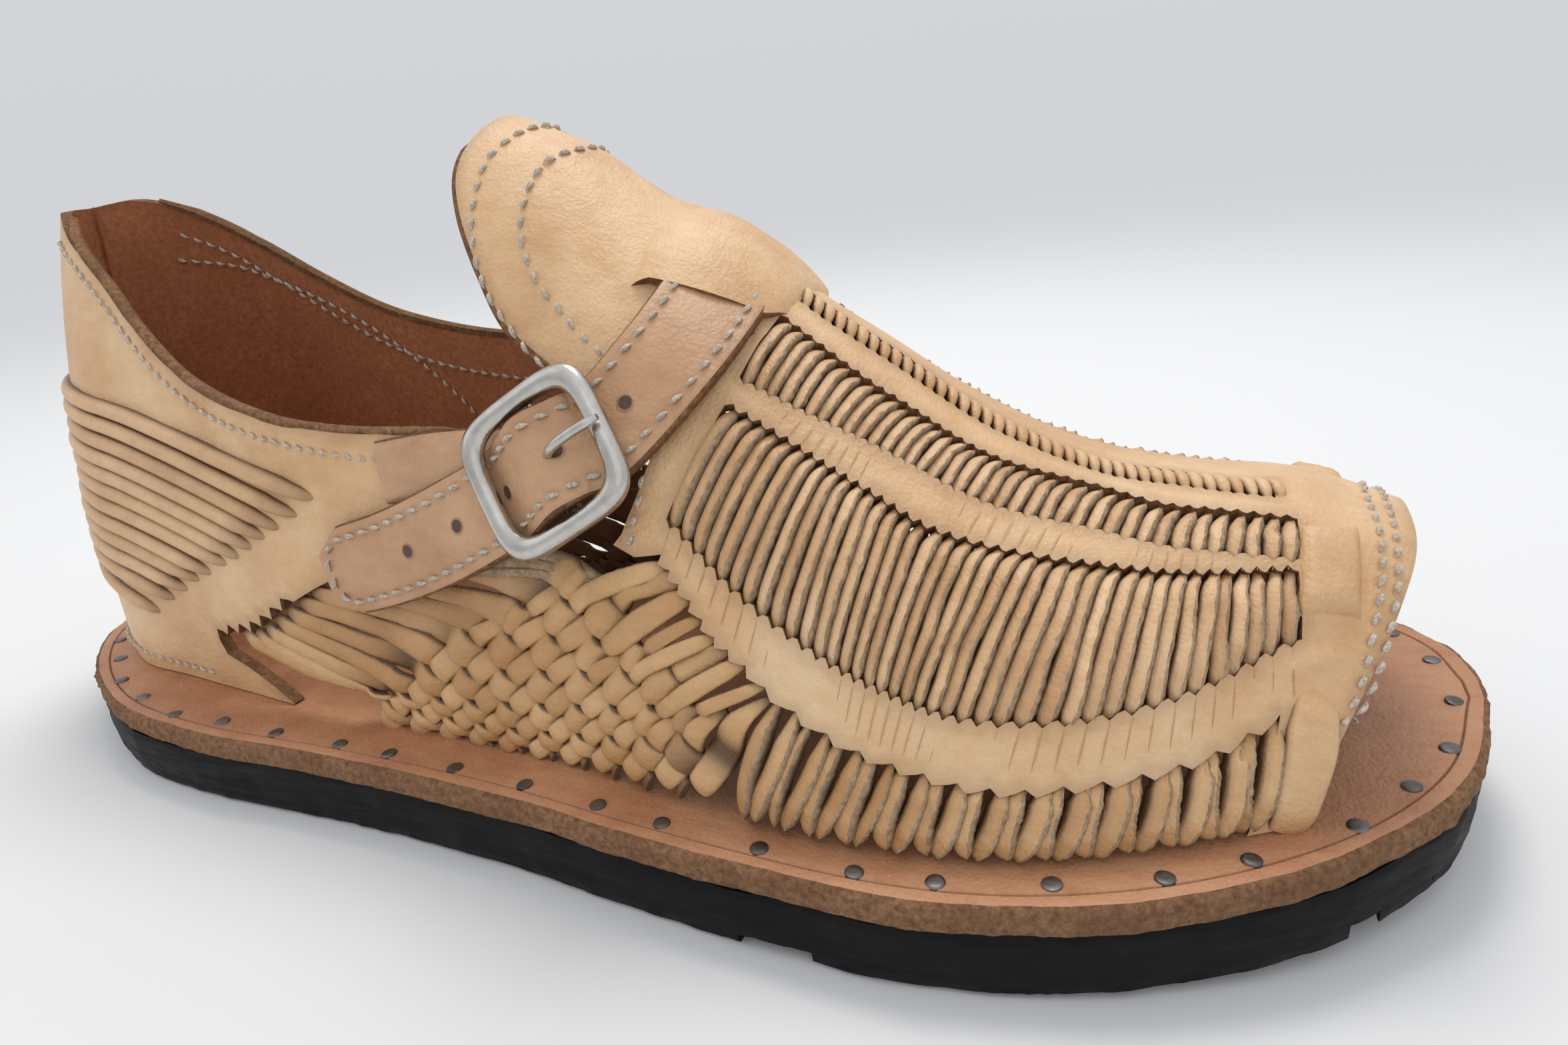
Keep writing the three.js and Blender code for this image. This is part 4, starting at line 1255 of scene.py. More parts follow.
def crease(builder, start, end):
    """One hair-thin fold line between two places given as (x, turn): a flat strip on the leather, darkened
    with painted shade.
    """
    t = np.linspace(0.14, 0.86, 9)
    path = on_path(np.asarray(start, float), np.asarray(end, float), t)
    point, normal = skin(path[:, 0], path[:, 1], 0.05)
    across = unit(np.cross(np.gradient(point, axis=0), normal))
    wide = 0.11 * np.sin(math.pi * np.linspace(0.05, 0.95, 9))[:, None]
    points = np.vstack([point - across * wide, point + across * wide])
    faces = [(i, i + 1, 10 + i, 9 + i) for i in range(8)]
    ahead = np.cross(points[1] - points[0], points[9] - points[0])
    faces = faces if np.dot(ahead, normal[0]) > 0 else [f[::-1] for f in faces]
    builder.add(points, faces, [0] * len(faces), 0.72, 0.3)


SLIT = {"back": (172.3, 94.2), "front": (189.2, 86.6), "rise": 3.1}  # in the tongue, for the strap


def tongue_bridge():
    """The raised loop of the tongue that the strap passes under, open at a slit on each side."""
    builder = Builder()
    rows, columns = 25, 31
    (back_x, back_z), (front_x, front_z) = SLIT["back"], SLIT["front"]
    x = np.linspace(back_x - 2.5, front_x + 2.5, rows)
    share = np.clip((x - back_x) / (front_x - back_x), 0, 1)
    slit_turn = turn_at(x, back_z + (front_z - back_z) * share, OUTER)
    slit_turn = np.minimum(0.47, slit_turn - 0.012)
    across = np.linspace(-1, 1, columns)
    xs = np.broadcast_to(x[:, None], (rows, columns))
    turns = 0.5 + (0.5 - slit_turn)[:, None] * across[None, :]
    base, normal = skin(xs, turns, 0.0, 0.0)
    arch = np.sin(math.pi * np.linspace(0, 1, rows)) ** 0.55
    bump = BRIDGE["rise"] * hump(xs - BRIDGE["x"], BRIDGE["long"])
    bump = bump * hump(base[..., 1] - BRIDGE["y"], BRIDGE["wide"])
    height = np.maximum(SLIT["rise"] * arch[:, None], bump) + 0.3 * arch[:, None] - 0.2
    height = height * (1 - 0.12 * np.abs(across[None, :]) ** 6)
    above = base + normal * height[..., None]
    below = base + normal * np.maximum(height - 1.5, -1.0)[..., None]
    loops = np.concatenate([above, below[:, ::-1]], 1)
    points, faces = closed_loft(loops)
    count = 2 * columns
    ring_slots = [1 if i in (columns - 1, count - 1) else 0 for i in range(count)]
    slots = ring_slots * (rows - 1) + [0] * (2 * count)
    builder.add(points, outward(points, faces), slots, 1.0, 0.62)
    return ride(builder.make("tongue_bridge", [LEATHER_LOOK, EDGE_LOOK]), "upper")


def rim_edges():
    """The frayed cut edge that shows along the tongue and the collar."""
    rng = np.random.default_rng(91)
    builder = Builder()
    tongue = smooth_run(TONGUE_RUN[2:], 8)
    collar = smooth_run(COLLAR_RUN[2:] + FRONT_CORNER_RUN[:1], 8)
    for side in (OUTER, INNER):
        for run in (tongue, collar):
            path = spaced(run, 0.7)
            z = path[:, 1].copy()
            for _ in range(4):  # the rim's cut is tilted, so its height depends on how far out it lies
                y = skin(path[:, 0], turn_at(path[:, 0], z, side))[0][:, 1]
                z = path[:, 1] + RIM_TILT * y
            top = along(SECTIONS, "ridge_z", np.maximum(HEEL["x"], path[:, 0]))
            keep = z < top - 0.5
            path, z = path[keep], z[keep]
            place = np.stack([path[:, 0], turn_at(path[:, 0], z, side)], -1)
            t = np.linspace(0, 1, len(place))
            out = course(t, [(0, -2.2), (0.07, -1.2), (0.95, -1.2), (1, -2.2)])
            half = 1.25 * course(t, [(0, 0.3), (0.07, 1), (0.95, 1), (1, 0.3)])
            lay_strip(
                builder, place, out, half, FRAY_PROFILE,
                thick=1.2, tone=0.4, ends=(1, 1), rng=rng, fuzz=0.16,
            )
    return ride(builder.make("rim_edges", [EDGE_LOOK]), "upper")


# ---- stitching ----
STITCH_SHAPE = np.array([0.15, 0.7, 1.0, 1.0, 0.7, 0.15])
STITCH_RISE = np.array([-0.35, 0.18, 0.3, 0.3, 0.18, -0.35])
STITCH_SKEW = 0.25


def stitch_row(builder, point, normal, length=2.7, gap=0.8, radius=0.42):
    """A row of single stitches along a line of points. Each lies a little askew and dips at both ends."""
    run = running_length(point)
    pitch = length + gap
    places = len(STITCH_SHAPE)
    turns = angles_round(places)
    for k in range(max(1, int(run[-1] / pitch))):
        at = np.linspace(k * pitch + gap / 2, k * pitch + gap / 2 + length, places)
        line = sampled(at, run, point)
        up = unit(sampled(at, run, normal))
        across = unit(np.cross(np.gradient(line, axis=0), up))
        skewed = across * (STITCH_SKEW * np.linspace(-1, 1, places))[:, None]
        line = line + up * STITCH_RISE[:, None] + skewed
        ring = np.cos(turns)[None, :, None] * across[:, None] + np.sin(turns)[None, :, None] * up[:, None]
        loops = line[:, None] + ring * (radius * STITCH_SHAPE)[:, None, None]
        faces, slots = tube_faces(places, places)
        builder.add(loops.reshape(-1, 3), faces, slots, 1.0)


def side_line(run, side):
    """Points and normals of a line given as (x, z) or (x, z, turn) rows on one side."""
    rows = np.array([(r[0], r[2] if len(r) > 2 else float(turn_at(r[0], r[1], OUTER))) for r in run])
    even = [1, 200]  # makes a step of turn about as long as its millimetres
    path = spaced(smooth_run(rows * even), 1.0) / even
    if side == INNER:
        path[:, 1] = 1 - path[:, 1]
    return skin(path[:, 0], path[:, 1], 0.12)


COLLAR_STITCH = [
    (24, 107), (35, 102.5), (46, 96), (58.5, 86.3), (68.9, 79.4), (78.9, 74.7), (88.9, 71.7), (98.1, 69.9),
    (106.5, 68.7), (114.5, 67.8), (122.1, 67.3), (130.9, 68.2),
]
TONGUE_OUTER_STITCH = [
    (161.7, 79.8, 0.244), (156.1, 83.4, 0.249), (152.5, 87, 0.257), (148.1, 91.9, 0.271),
    (145.7, 95.3, 0.284), (143.7, 99.1, 0.300), (142.5, 102.6, 0.317), (141.7, 106.5, 0.338),
    (141.3, 113.2, 0.387), (142.5, 116.3, 0.422), (143.6, 117.9, 0.462), (144.2, 118.2, 0.5),
]
TONGUE_INNER_STITCH = [
    (168.9, 82.7, 0.277), (163.7, 86.4, 0.283), (159.7, 90, 0.291), (155.7, 93.8, 0.300),
    (152.9, 97.8, 0.314), (150.9, 101.9, 0.333), (150.1, 105.9, 0.357), (150.1, 111.6, 0.407),
    (151.3, 113.4, 0.439), (152.4, 113.6, 0.47), (152.8, 113.6, 0.5),
]
TOE_STITCHES = [
    [(277.3, 55, 0.5), (277.6, 54.6, 0.45), (278.1, 52.9, 0.402), (278.1, 50.1, 0.340), (277.7, 46.8, 0.286),
     (276.9, 43.3, 0.239), (276.3, 39.6, 0.196), (275.2, 35.6, 0.154), (273.9, 32.2, 0.125)],
    [(280.1, 54, 0.5), (280.1, 53.6, 0.45), (280.1, 51.6, 0.384), (280.0, 48.6, 0.324), (279.6, 46.1, 0.283),
     (278.9, 43.3, 0.243), (278.0, 39.6, 0.199), (276.7, 35.6, 0.158), (275.4, 32.2, 0.128)],
]
VAMP_BACK_STITCH = [(176.9, 69.5), (177.3, 63.9), (176.1, 58.1), (175.7, 54.7)]
QUARTER_STITCH = [(20, 19.6), (31.3, 19.3), (46.5, 18.4), (66, 18.2)]
CHAPE_CROSS = [[(132, 70.5), (138, 66)], [(132, 66), (138, 70.5)], [(138, 66), (138, 70.5)]]
BACK_STITCHES = {"count": 7, "bottom": 96, "pitch": 2.2}
COUNTER_STITCH = [(20, 101), (40, 97.5), (60, 88), (78, 75), (92, 60), (100, 45), (103, 34)]


def inside_line(run, side):
    """Points and normals of a line on the inside of the upper."""
    point, normal = side_line(run, side)
    return point - normal * (WALL + 0.3), -normal


def mirrored_line(run):
    """A line on the outer side, and then back along the same line on the inner side."""
    outer, outer_normal = side_line(run, OUTER)
    inner, inner_normal = side_line(run, INNER)
    return np.vstack([outer, inner[::-1][1:]]), np.vstack([outer_normal, inner_normal[::-1][1:]])


def seams():
    builder = Builder()
    stitch_row(builder, *mirrored_line(TONGUE_OUTER_STITCH))
    stitch_row(builder, *mirrored_line(TONGUE_INNER_STITCH))
    for run in TOE_STITCHES:
        stitch_row(builder, *mirrored_line(run), length=2.3, gap=0.6)
    for side in (OUTER, INNER):
        for run in (COLLAR_STITCH, VAMP_BACK_STITCH, QUARTER_STITCH):
            stitch_row(builder, *side_line(run, side), length=2.3, gap=0.7)
        for run in CHAPE_CROSS:
            stitch_row(builder, *side_line(run, side), length=2.2, gap=0.5)
        stitch_row(builder, *inside_line(COLLAR_STITCH, side), length=2.3, gap=0.7)
        stitch_row(builder, *inside_line(COUNTER_STITCH, side), length=2.3, gap=0.7)
    for k in range(BACK_STITCHES["count"]):
        z = BACK_STITCHES["bottom"] + BACK_STITCHES["pitch"] * k
        for side in (OUTER, INNER):
            ends = [(13.5 + 0.1 * k, z), (11, z + 0.8)]
            stitch_row(builder, *side_line(ends, side), length=2.0, gap=0.2, radius=0.35)
    return ride(builder.make("seams", [THREAD_LOOK]), "upper")


# ---- strap and buckle ----
STRAP = {"width": 16.5, "thick": 2, "tip": 7}
CHAPE = {"width": 11, "thick": 1.1}
BUCKLE = {"along": 26.5, "across": 25, "wire": 3.4, "thick": 3.1, "bar": 1.2, "prong": 0.8}
BAR_HEIGHT, FRAME_HEIGHT = 3.7, 6.2
STRAP_START = [
    (114, 67, INNER, 1.3), (131, 70, INNER, 1.3), (148, 76, INNER, 1.3), (162, 85.5, INNER, 1.3),
    (173, 94.5, INNER, 0.9), (180, 96, 0, -0.2), (182, 89.5, OUTER, 0.9), (179, 81, OUTER, 2.6),
]
BUCKLE_AT, BUCKLE_TOWARD = (163.5, 67.5), (144.5, 56)
STRAP_IN_BUCKLE = [(-9, 3.2), (-5, 5.6), (0, 7.6), (5, 5.6), (10, 3.1), (14, 3.2)]
STRAP_END = [(139, 55, OUTER, 2.9), (127, 50.5, OUTER, 2.2), (111, 46, OUTER, 1.4)]
CHAPE_LINE = [(126, 65, OUTER, 0.85), (139, 67, OUTER, 0.85), (152, 67.5, OUTER, 0.85)]
PRONG_LINE = [(0, 5.4), (-2, 7.3), (-5, 9.5), (-9, 9.8), (-13.5, 9)]
STRAP_HOLES = (-16.5, -3.5, 9.5, 22.5, 35.5)  # along the strap from the buckle's centre bar


def off_upper(x, z, side, out):
    """Point off the upper's face without the strap's bridge, and the normal there."""
    turn = 0.5 if side == 0 else float(turn_at(x, z, side))
    forward = upper_point(x + 1, turn, 0, 0) - upper_point(x - 1, turn, 0, 0)
    across = upper_point(x, turn + 0.02, 0, 0) - upper_point(x, turn - 0.02, 0, 0)
    normal = unit(np.cross(forward, across))
    return upper_point(x, turn, 0, 0) + normal * out, normal


def buckle_axes():
    middle, normal = off_upper(*BUCKLE_AT, OUTER, 0)
    ahead = off_upper(*BUCKLE_TOWARD, OUTER, 0)[0] - middle
    t = unit(ahead - normal * np.dot(ahead, normal))
    return middle, t, np.cross(t, normal), normal


BUCKLE_MIDDLE, BUCKLE_T, BUCKLE_A, BUCKLE_N = buckle_axes()


def in_buckle(t, a, n):
    return BUCKLE_MIDDLE + BUCKLE_T * t + BUCKLE_A * a + BUCKLE_N * n


def between(u, v, start, end, at):
    """The place between two knots on the line through u and v."""
    return u + (v - u) * (at - start) / (end - start)


def curve_through(points, each):
    """Centripetal curve through points of any dimension, each pieces between two of them."""
    p = np.asarray(points, float)
    p = np.vstack([2 * p[0] - p[1], p, 2 * p[-1] - p[-2]])
    result = []
    for i in range(1, len(p) - 2):
        a, b, c, d = p[i - 1 : i + 3, :]
        gaps = [max(1e-4, np.linalg.norm(q[:3] - r[:3])) ** 0.5 for q, r in ((b, a), (c, b), (d, c))]
        k0, k1, k2, k3 = np.cumsum([0] + gaps)
        for k in range(each + (i == len(p) - 3)):
            t = k1 + (k2 - k1) * k / each
            ab = between(a, b, k0, k1, t)
            bc = between(b, c, k1, k2, t)
            cd = between(c, d, k2, k3, t)
            result.append(between(between(ab, bc, k0, k2, t), between(bc, cd, k1, k3, t), k1, k2, t))
    return np.array(result)


def framed_curve(stops, each):
    """A curve through (point, normal) stops: its points, and normals square to it."""
    line = curve_through(np.array([np.r_[point, normal] for point, normal in stops]), each)
    point, normal = line[:, :3], unit(line[:, 3:])
    return point, unit(square_to(normal, unit(np.gradient(point, axis=0))))


def strap_line():
    """Points, normals and running length of the strap's middle layer, and the length at the buckle's bar."""
    stops = [off_upper(*s) for s in STRAP_START]
    stops += [(in_buckle(t, 0, n), BUCKLE_N) for t, n in STRAP_IN_BUCKLE]
    stops += [off_upper(*s) for s in STRAP_END]
    each = 10
    point, normal = framed_curve(stops, each)
    run = running_length(point)
    return point, normal, run, run[(len(STRAP_START) + 2) * each]


def strap_place(s, a, n):
    """Place on the strap: s along it, a across it, n above its middle layer. Also the normal."""
    point, normal, run, _ = STRAP_LINE
    up = unit(sampled(s, run, normal))
    across = unit(np.cross(sampled(s, run, np.gradient(point, axis=0)), up))
    place = sampled(s, run, point) + across * np.asarray(a)[..., None]
    return place + up * np.asarray(n)[..., None], up


STRAP_LINE = strap_line()


def strap_half(run):
    left = run[-1] - run
    return STRAP["width"] / 2 * np.minimum(1, 0.5 + 0.5 * left / STRAP["tip"])


def strap_form(name, grow, material):
    """The strap's body. grow widens it all round, to cut its way through the tongue."""
    builder = Builder()
    point, normal, run, _ = STRAP_LINE
    profile = CUTTER_PROFILE if grow else STRAP_PROFILE
    thick = STRAP["thick"] / 2 + grow
    sweep_strip(builder, point, normal, strap_half(run) + grow, profile, thick=thick, ends=(1, 1))
    return builder.make(name, material, 35)


def instep_strap():
    strap = strap_form("strap", 0.0, [STRAP_LOOK, EDGE_LOOK])
    return ride(strap, "instep_strap", "instep_strap")


HOLE_PROFILE = [  # from the burnished ring to the hole's painted-shade middle: radius, height, shade
    (1.7, -0.1, 1.0), (1.4, 0.1, 0.75), (1.12, 0.12, 0.4), (1.02, 0.04, 0.0), (0.9, 0.03, 0.0),
]


def strap_holes():
    """Punched holes: a disc darkened with painted shade stands for each hole's middle, in a slightly raised,
    burnished ring that darkens inward with painted shade.
    """
    builder = Builder()
    sides = 16
    turns = angles_round(sides)
    for offset in STRAP_HOLES:
        loops, shades = [], []
        for radius, height, shade in HOLE_PROFILE:
            s = STRAP_LINE[3] + offset + radius * np.cos(turns)
            above = np.full(sides, STRAP["thick"] / 2 + 0.06 + height)
            loops.append(strap_place(s, radius * np.sin(turns), above)[0])
            shades += [shade] * sides
        loops = np.array(loops)
        faces, slots = tube_faces(len(HOLE_PROFILE), sides, caps=False)
        faces.append(tuple((len(HOLE_PROFILE) - 1) * sides + i for i in range(sides)))
        _, up = strap_place(np.array([STRAP_LINE[3] + offset]), np.zeros(1), np.zeros(1))
        a, b, c = (loops.reshape(-1, 3)[i] for i in faces[0][:3])
        if np.dot(np.cross(b - a, c - a), up[0]) < 0:
            faces = [f[::-1] for f in faces]
        builder.add(loops.reshape(-1, 3), faces, slots + [0], np.array(shades))
    return ride(builder.make("strap_holes", [STRAP_LOOK]), "instep_strap")


def strap_stitches():
    builder = Builder()
    length = STRAP_LINE[2][-1]
    edge = STRAP["width"] / 2 - 2.4
    s = np.arange(4, length - 6, 0.8)
    outer = np.stack([s, np.full(len(s), edge)], -1)
    corner = np.array([[length - 3.5, edge - 1.3], [length - 2.2, edge - 3.2]])
    half_way = np.vstack([outer, corner])
    line = spaced(np.vstack([half_way, (half_way * [1, -1])[::-1]]), 0.8)
    point, up = strap_place(line[:, 0], line[:, 1], STRAP["thick"] / 2 + 0.02)
    stitch_row(builder, point, up, length=2.6)
    return ride(builder.make("strap_stitches", [THREAD_LOOK]), "instep_strap")


def chape():
    """The folded tab that holds the buckle's centre bar, stitched to the quarter's front corner."""
    r = BUCKLE["bar"] + GAP + CHAPE["thick"] / 2
    stops = [off_upper(*s) for s in CHAPE_LINE]
    stops.append((in_buckle(3.2, 0, BAR_HEIGHT - r), BUCKLE_N))
    for angle in np.radians([-90, -135, -180, -225, -270, -310]):
        outward_way = BUCKLE_T * math.cos(angle) + BUCKLE_N * math.sin(angle)
        stops.append((in_buckle(0, 0, BAR_HEIGHT) + outward_way * r, -outward_way))
    point, normal = framed_curve(stops, 6)
    builder = Builder()
    half = np.full(len(point), CHAPE["width"] / 2)
    thick = CHAPE["thick"] * 0.62
    sweep_strip(builder, point, normal, half, FLAT_PROFILE, thick=thick, tone=0.6, ends=(1, 1))
    return ride(builder.make("chape", [STRAP_LOOK, EDGE_LOOK]), "buckle_chape", "buckle_chape")


def tube(builder, points, radius, sides=14):
    """Round tube in the buckle's long middle plane. radius is one number or one for each point."""
    p = np.asarray(points, float)
    tangent = unit(np.gradient(p, axis=0))
    side = unit(np.cross(tangent, BUCKLE_A))
    other = np.cross(tangent, side)
    turns = angles_round(sides)
    radius = np.broadcast_to(np.asarray(radius, float), (len(p),))
    ring = np.cos(turns)[None, :, None] * side[:, None] + np.sin(turns)[None, :, None] * other[:, None]
    points = (p[:, None] + ring * radius[:, None, None]).reshape(-1, 3)
    faces, slots = tube_faces(len(p), sides)
    builder.add(points, outward(points, faces), slots, 1.0)


def frame_wire(builder):
    """The rounded square of flattened wire."""
    rounds, sides, square = 120, 16, 4.4  # places round the frame and round its wire, and how square it is
    loops = []
    for i in range(rounds):
        angle = -2 * math.pi * i / rounds
        t, a = (math.copysign(abs(v) ** (2 / square), v) for v in (math.cos(angle), math.sin(angle)))
        loop = []
        for k in range(sides):
            turn = 2 * math.pi * (k + 0.5) / sides
            inward = BUCKLE["wire"] / 2 * (1 - math.cos(turn))
            height = FRAME_HEIGHT + BUCKLE["thick"] / 2 * math.sin(turn)
            reach_t, reach_a = BUCKLE["along"] / 2 - inward, BUCKLE["across"] / 2 - inward
            loop.append(in_buckle(t * reach_t, a * reach_a, height))
        loops.append(loop)
    points = np.array(loops).reshape(-1, 3)
    faces, _ = tube_faces(rounds, sides, caps=False)
    last = (rounds - 1) * sides
    faces += [(last + i, last + (i + 1) % sides, (i + 1) % sides, i) for i in range(sides)]
    builder.add(points, outward(points, faces), [0] * len(faces), 1.0)


def centre_bar(builder):
    sides = 14
    reach = BUCKLE["across"] / 2 - BUCKLE["wire"] / 2
    line = np.array([in_buckle(0, a, BAR_HEIGHT) for a in np.linspace(-reach, reach, 8)])
    turns = angles_round(sides)
    ring = np.cos(turns)[:, None] * BUCKLE_T + np.sin(turns)[:, None] * BUCKLE_N
    points = (line[:, None] + BUCKLE["bar"] * ring[None]).reshape(-1, 3)
    faces, slots = tube_faces(len(line), sides)
    builder.add(points, outward(points, faces), slots, 1.0)


def buckle():
    """The frame with its centre bar."""
    builder = Builder()
    frame_wire(builder)
    centre_bar(builder)
    return ride(builder.make("buckle", [NICKEL_LOOK], 60), "buckle_frame", "buckle_frame")


def prong():
    """The prong, with its eye round the centre bar."""
    builder = Builder()
    line = curve_through(np.array([in_buckle(t, 0, n) for t, n in PRONG_LINE]), 8)
    t = np.linspace(0, 1, len(line))
    tube(builder, line, BUCKLE["prong"] * course(t, [(0, 1), (0.1, 1), (0.9, 0.95), (1, 0.6)]))
    eye_radius = BUCKLE["bar"] + GAP + 0.4
    bar = in_buckle(0, 0, BAR_HEIGHT)
    turns = np.linspace(0, 2 * math.pi, 24)
    eye = [bar + (BUCKLE_T * math.cos(turn) + BUCKLE_N * math.sin(turn)) * eye_radius for turn in turns]
    tube(builder, np.array(eye), 0.75)
    return ride(builder.make("prong", [NICKEL_LOOK], 60), "buckle_prong", "buckle_prong")


# ---- sole ----
SOLE_OUTER_EDGE = [
    (-0.5, -8), (4, -20), (13, -32), (28, -43), (50, -52), (77, -55), (112, -53.5), (148, -53.5), (183, -56),
    (218, -56.5), (240, -52.5), (262, -43), (281, -28.5), (293, -12), (299, 9),
]
SOLE_INNER_EDGE = [
    (-0.5, -4), (4, 9), (17, 24), (38, 34), (65, 37), (100, 36.5), (135, 38), (170, 44), (200, 50.5),
    (226, 54), (250, 53.5), (272, 49), (287, 40), (296, 28), (299, 15),
]


def sole_outline(step):
    """The sole's closed outline, anticlockwise, with points about step apart, and its inward normals."""
    outer = curve_through(np.array(SOLE_OUTER_EDGE, float), 12)
    inner = curve_through(np.array(SOLE_INNER_EDGE, float), 12)[::-1]
    ring = spaced(np.vstack([outer, inner, outer[:1]]), step)[:-1]
    ahead = unit(np.roll(ring, -2, 0) - np.roll(ring, 2, 0))
    return ring, np.stack([-ahead[:, 1], ahead[:, 0]], -1)


def sole_rings(ring, normal, levels):
    """Rings of points: each level is (distance inward, height, and a jitter for each point)."""
    rings = []
    for inset, height, jitter in levels:
        flat = ring + normal * np.broadcast_to(inset + jitter, len(ring))[:, None]
        rings.append(np.column_stack([flat, height + lift(flat[:, 0])]))
    return np.array(rings)


def close_sole(rings, slot_of):
    """Points, faces and slots of a closed form through rings, from the bottom's middle to the top's."""
    rows, count = rings.shape[:2]
    faces, _ = tube_faces(rows, count)
    slots = [slot_of(k) for k in range(rows - 1) for _ in range(count)] + [slot_of(0), slot_of(rows - 2)]
    return rings.reshape(-1, 3), faces, slots


def toward_middle(ring, share):
    """A ring of points drawn in toward the sole's long middle line."""
    middle_y = course(ring[:, 0], [(0, -6), (150, -6), (299, 12)])
    middle = np.column_stack([np.clip(ring[:, 0], 45, 252), middle_y])
    flat = ring[:, :2] + (middle - ring[:, :2]) * share
    base = ring[:, 2] - lift(ring[:, 0])
    return np.column_stack([flat, base + lift(flat[:, 0])])


def rough_line(rng, count, spread, smooth):
    """Random offsets round a closed ring, smoothed over some points."""
    raw = rng.normal(0, 1, count)
    kernel = np.ones(smooth) / smooth
    soft = np.convolve(np.r_[raw, raw, raw], kernel, "same")[count : 2 * count]
    return soft / soft.std() * spread


def footbed():
    rng = np.random.default_rng(61)
    ring, normal = sole_outline(0.9)
    count = len(ring)
    low, top = RUBBER + GAP, FOOTBED_TOP
    wave = rough_line(rng, count, 0.22, 15)
    levels = [(6, low, 0.0), (0.3, low, wave)]
    for height in (0.7, 1.6, 2.5, 3.4):
        levels.append((0.0, low + height, wave + rough_line(rng, count, 0.12, 2)))
    levels += [(0.35, top - 0.35, wave + rough_line(rng, count, 0.1, 3)), (1.0, top, wave * 0.6)]
    edge_rings = len(levels)
    levels += [(2.9, top + 0.02, 0.0), (3.15, top - 0.3, 0.0), (3.4, top + 0.02, 0.0)]
    groove_ring = edge_rings + 2  # the levels' second ring after the edge, and one for the bottom's middle
    levels += [(6.5, top, 0.0), (11, top, 0.0), (15, top, 0.0)]
    rings = list(sole_rings(ring, normal, levels))
    last = rings[-1]
    rings += [toward_middle(last, share) for share in (0.3, 0.6, 0.97)]
    rings = [toward_middle(rings[0], 0.9)] + rings
    points, faces, slots = close_sole(np.array(rings), lambda k: 1 if k < edge_rings else 0)
    builder = Builder()
    shade = np.ones((len(rings), count))
    # painted shade in the scribed groove round the footbed
    shade[groove_ring] = 0.35
    builder.add(points, outward(points, faces), slots, shade.reshape(-1))
    return ride(builder.make("footbed_leather", [FOOTBED_LOOK, SOLE_EDGE_LOOK], 40), "footbed", "footbed")


FACETS = {"step": 9, "spread": 0.38}  # the knife's flat cuts round the rubber, in places and millimetres
TREAD = {"grooves": (-20, 14), "half": 2.5, "depth": 3.2}
BALL_NICK = ((196, -BEYOND["side"], BEYOND["below"]), (208, -52, 2.4))
TOE_CUTS = {"places": (277, 288), "width": 4, "outer_y": -20, "inner_y": 14, "depth": 3.2}


def tread_cutters():
    """The two long grooves, the nick at the ball and the cuts in the toe's edge."""
    below, side = BEYOND["below"], BEYOND["side"]
    back, ahead, half = COLLAR_RUN[0][0], BEYOND["ahead"], TREAD["half"]
    cutters = [block((back, y - half, below), (ahead, y + half, TREAD["depth"])) for y in TREAD["grooves"]]
    cutters.append(block(*BALL_NICK))
    for x in TOE_CUTS["places"]:
        depth = TOE_CUTS["depth"] + float(lift(x))
        for low, high in ((-side, TOE_CUTS["outer_y"]), (TOE_CUTS["inner_y"], side)):
            cutters.append(block((x, low, below), (x + TOE_CUTS["width"], high, depth)))
    return cutters


def rubber_sole():
    rng = np.random.default_rng(71)
    ring, normal = sole_outline(1.2)
    count = len(ring)
    corners = np.arange(0, count + FACETS["step"], FACETS["step"])
    facets = np.interp(np.arange(count), corners, rng.normal(0, FACETS["spread"], len(corners)))
    levels = [(6, 0.0, 0.0), (1.3, 0.0, facets * 0.5)]
    for height, inset in ((0.7, 0.55), (2.5, 0.25), (4.5, 0.1), (6.5, 0.0), (8.5, 0.1), (9.8, 0.25)):
        levels.append((inset, height, facets * (0.5 + height / 16) + rough_line(rng, count, 0.09, 3)))
    levels += [(0.6, RUBBER, facets), (8, RUBBER, 0.0)]
    rings = list(sole_rings(ring, normal, levels))
    rings = [toward_middle(rings[0], 0.95)] + rings + [toward_middle(rings[-1], 0.95)]
    points, faces, slots = close_sole(np.array(rings), lambda k: 0)
    builder = Builder()
    builder.add(points, outward(points, faces), slots, 1.0)
    sole = builder.make("rubber_sole", [RUBBER_LOOK], 45)
    cut(sole, tread_cutters())
    shade_smooth(sole.data, 40)
    return ride(sole, "outsole", "outsole")


def block(low, high):
    """A box between two corners, to cut the rubber with."""
    corners = [(x, y, z) for x in (low[0], high[0]) for y in (low[1], high[1]) for z in (low[2], high[2])]
    faces = [(0, 1, 3, 2), (4, 6, 7, 5), (0, 4, 5, 1), (2, 3, 7, 6), (0, 2, 6, 4), (1, 5, 7, 3)]
    return add_mesh("cutter", corners, outward(corners, faces), [RUBBER_LOOK])


NAILS = {"inset": 4.6, "spacing": 14.5, "radius": 1.45, "rise": 0.45}
NAIL_PROFILE = [(1.0, -0.6), (1.0, 0.35), (0.93, 0.8), (0.7, 1.0), (0.3, 1.05)]  # radius and height


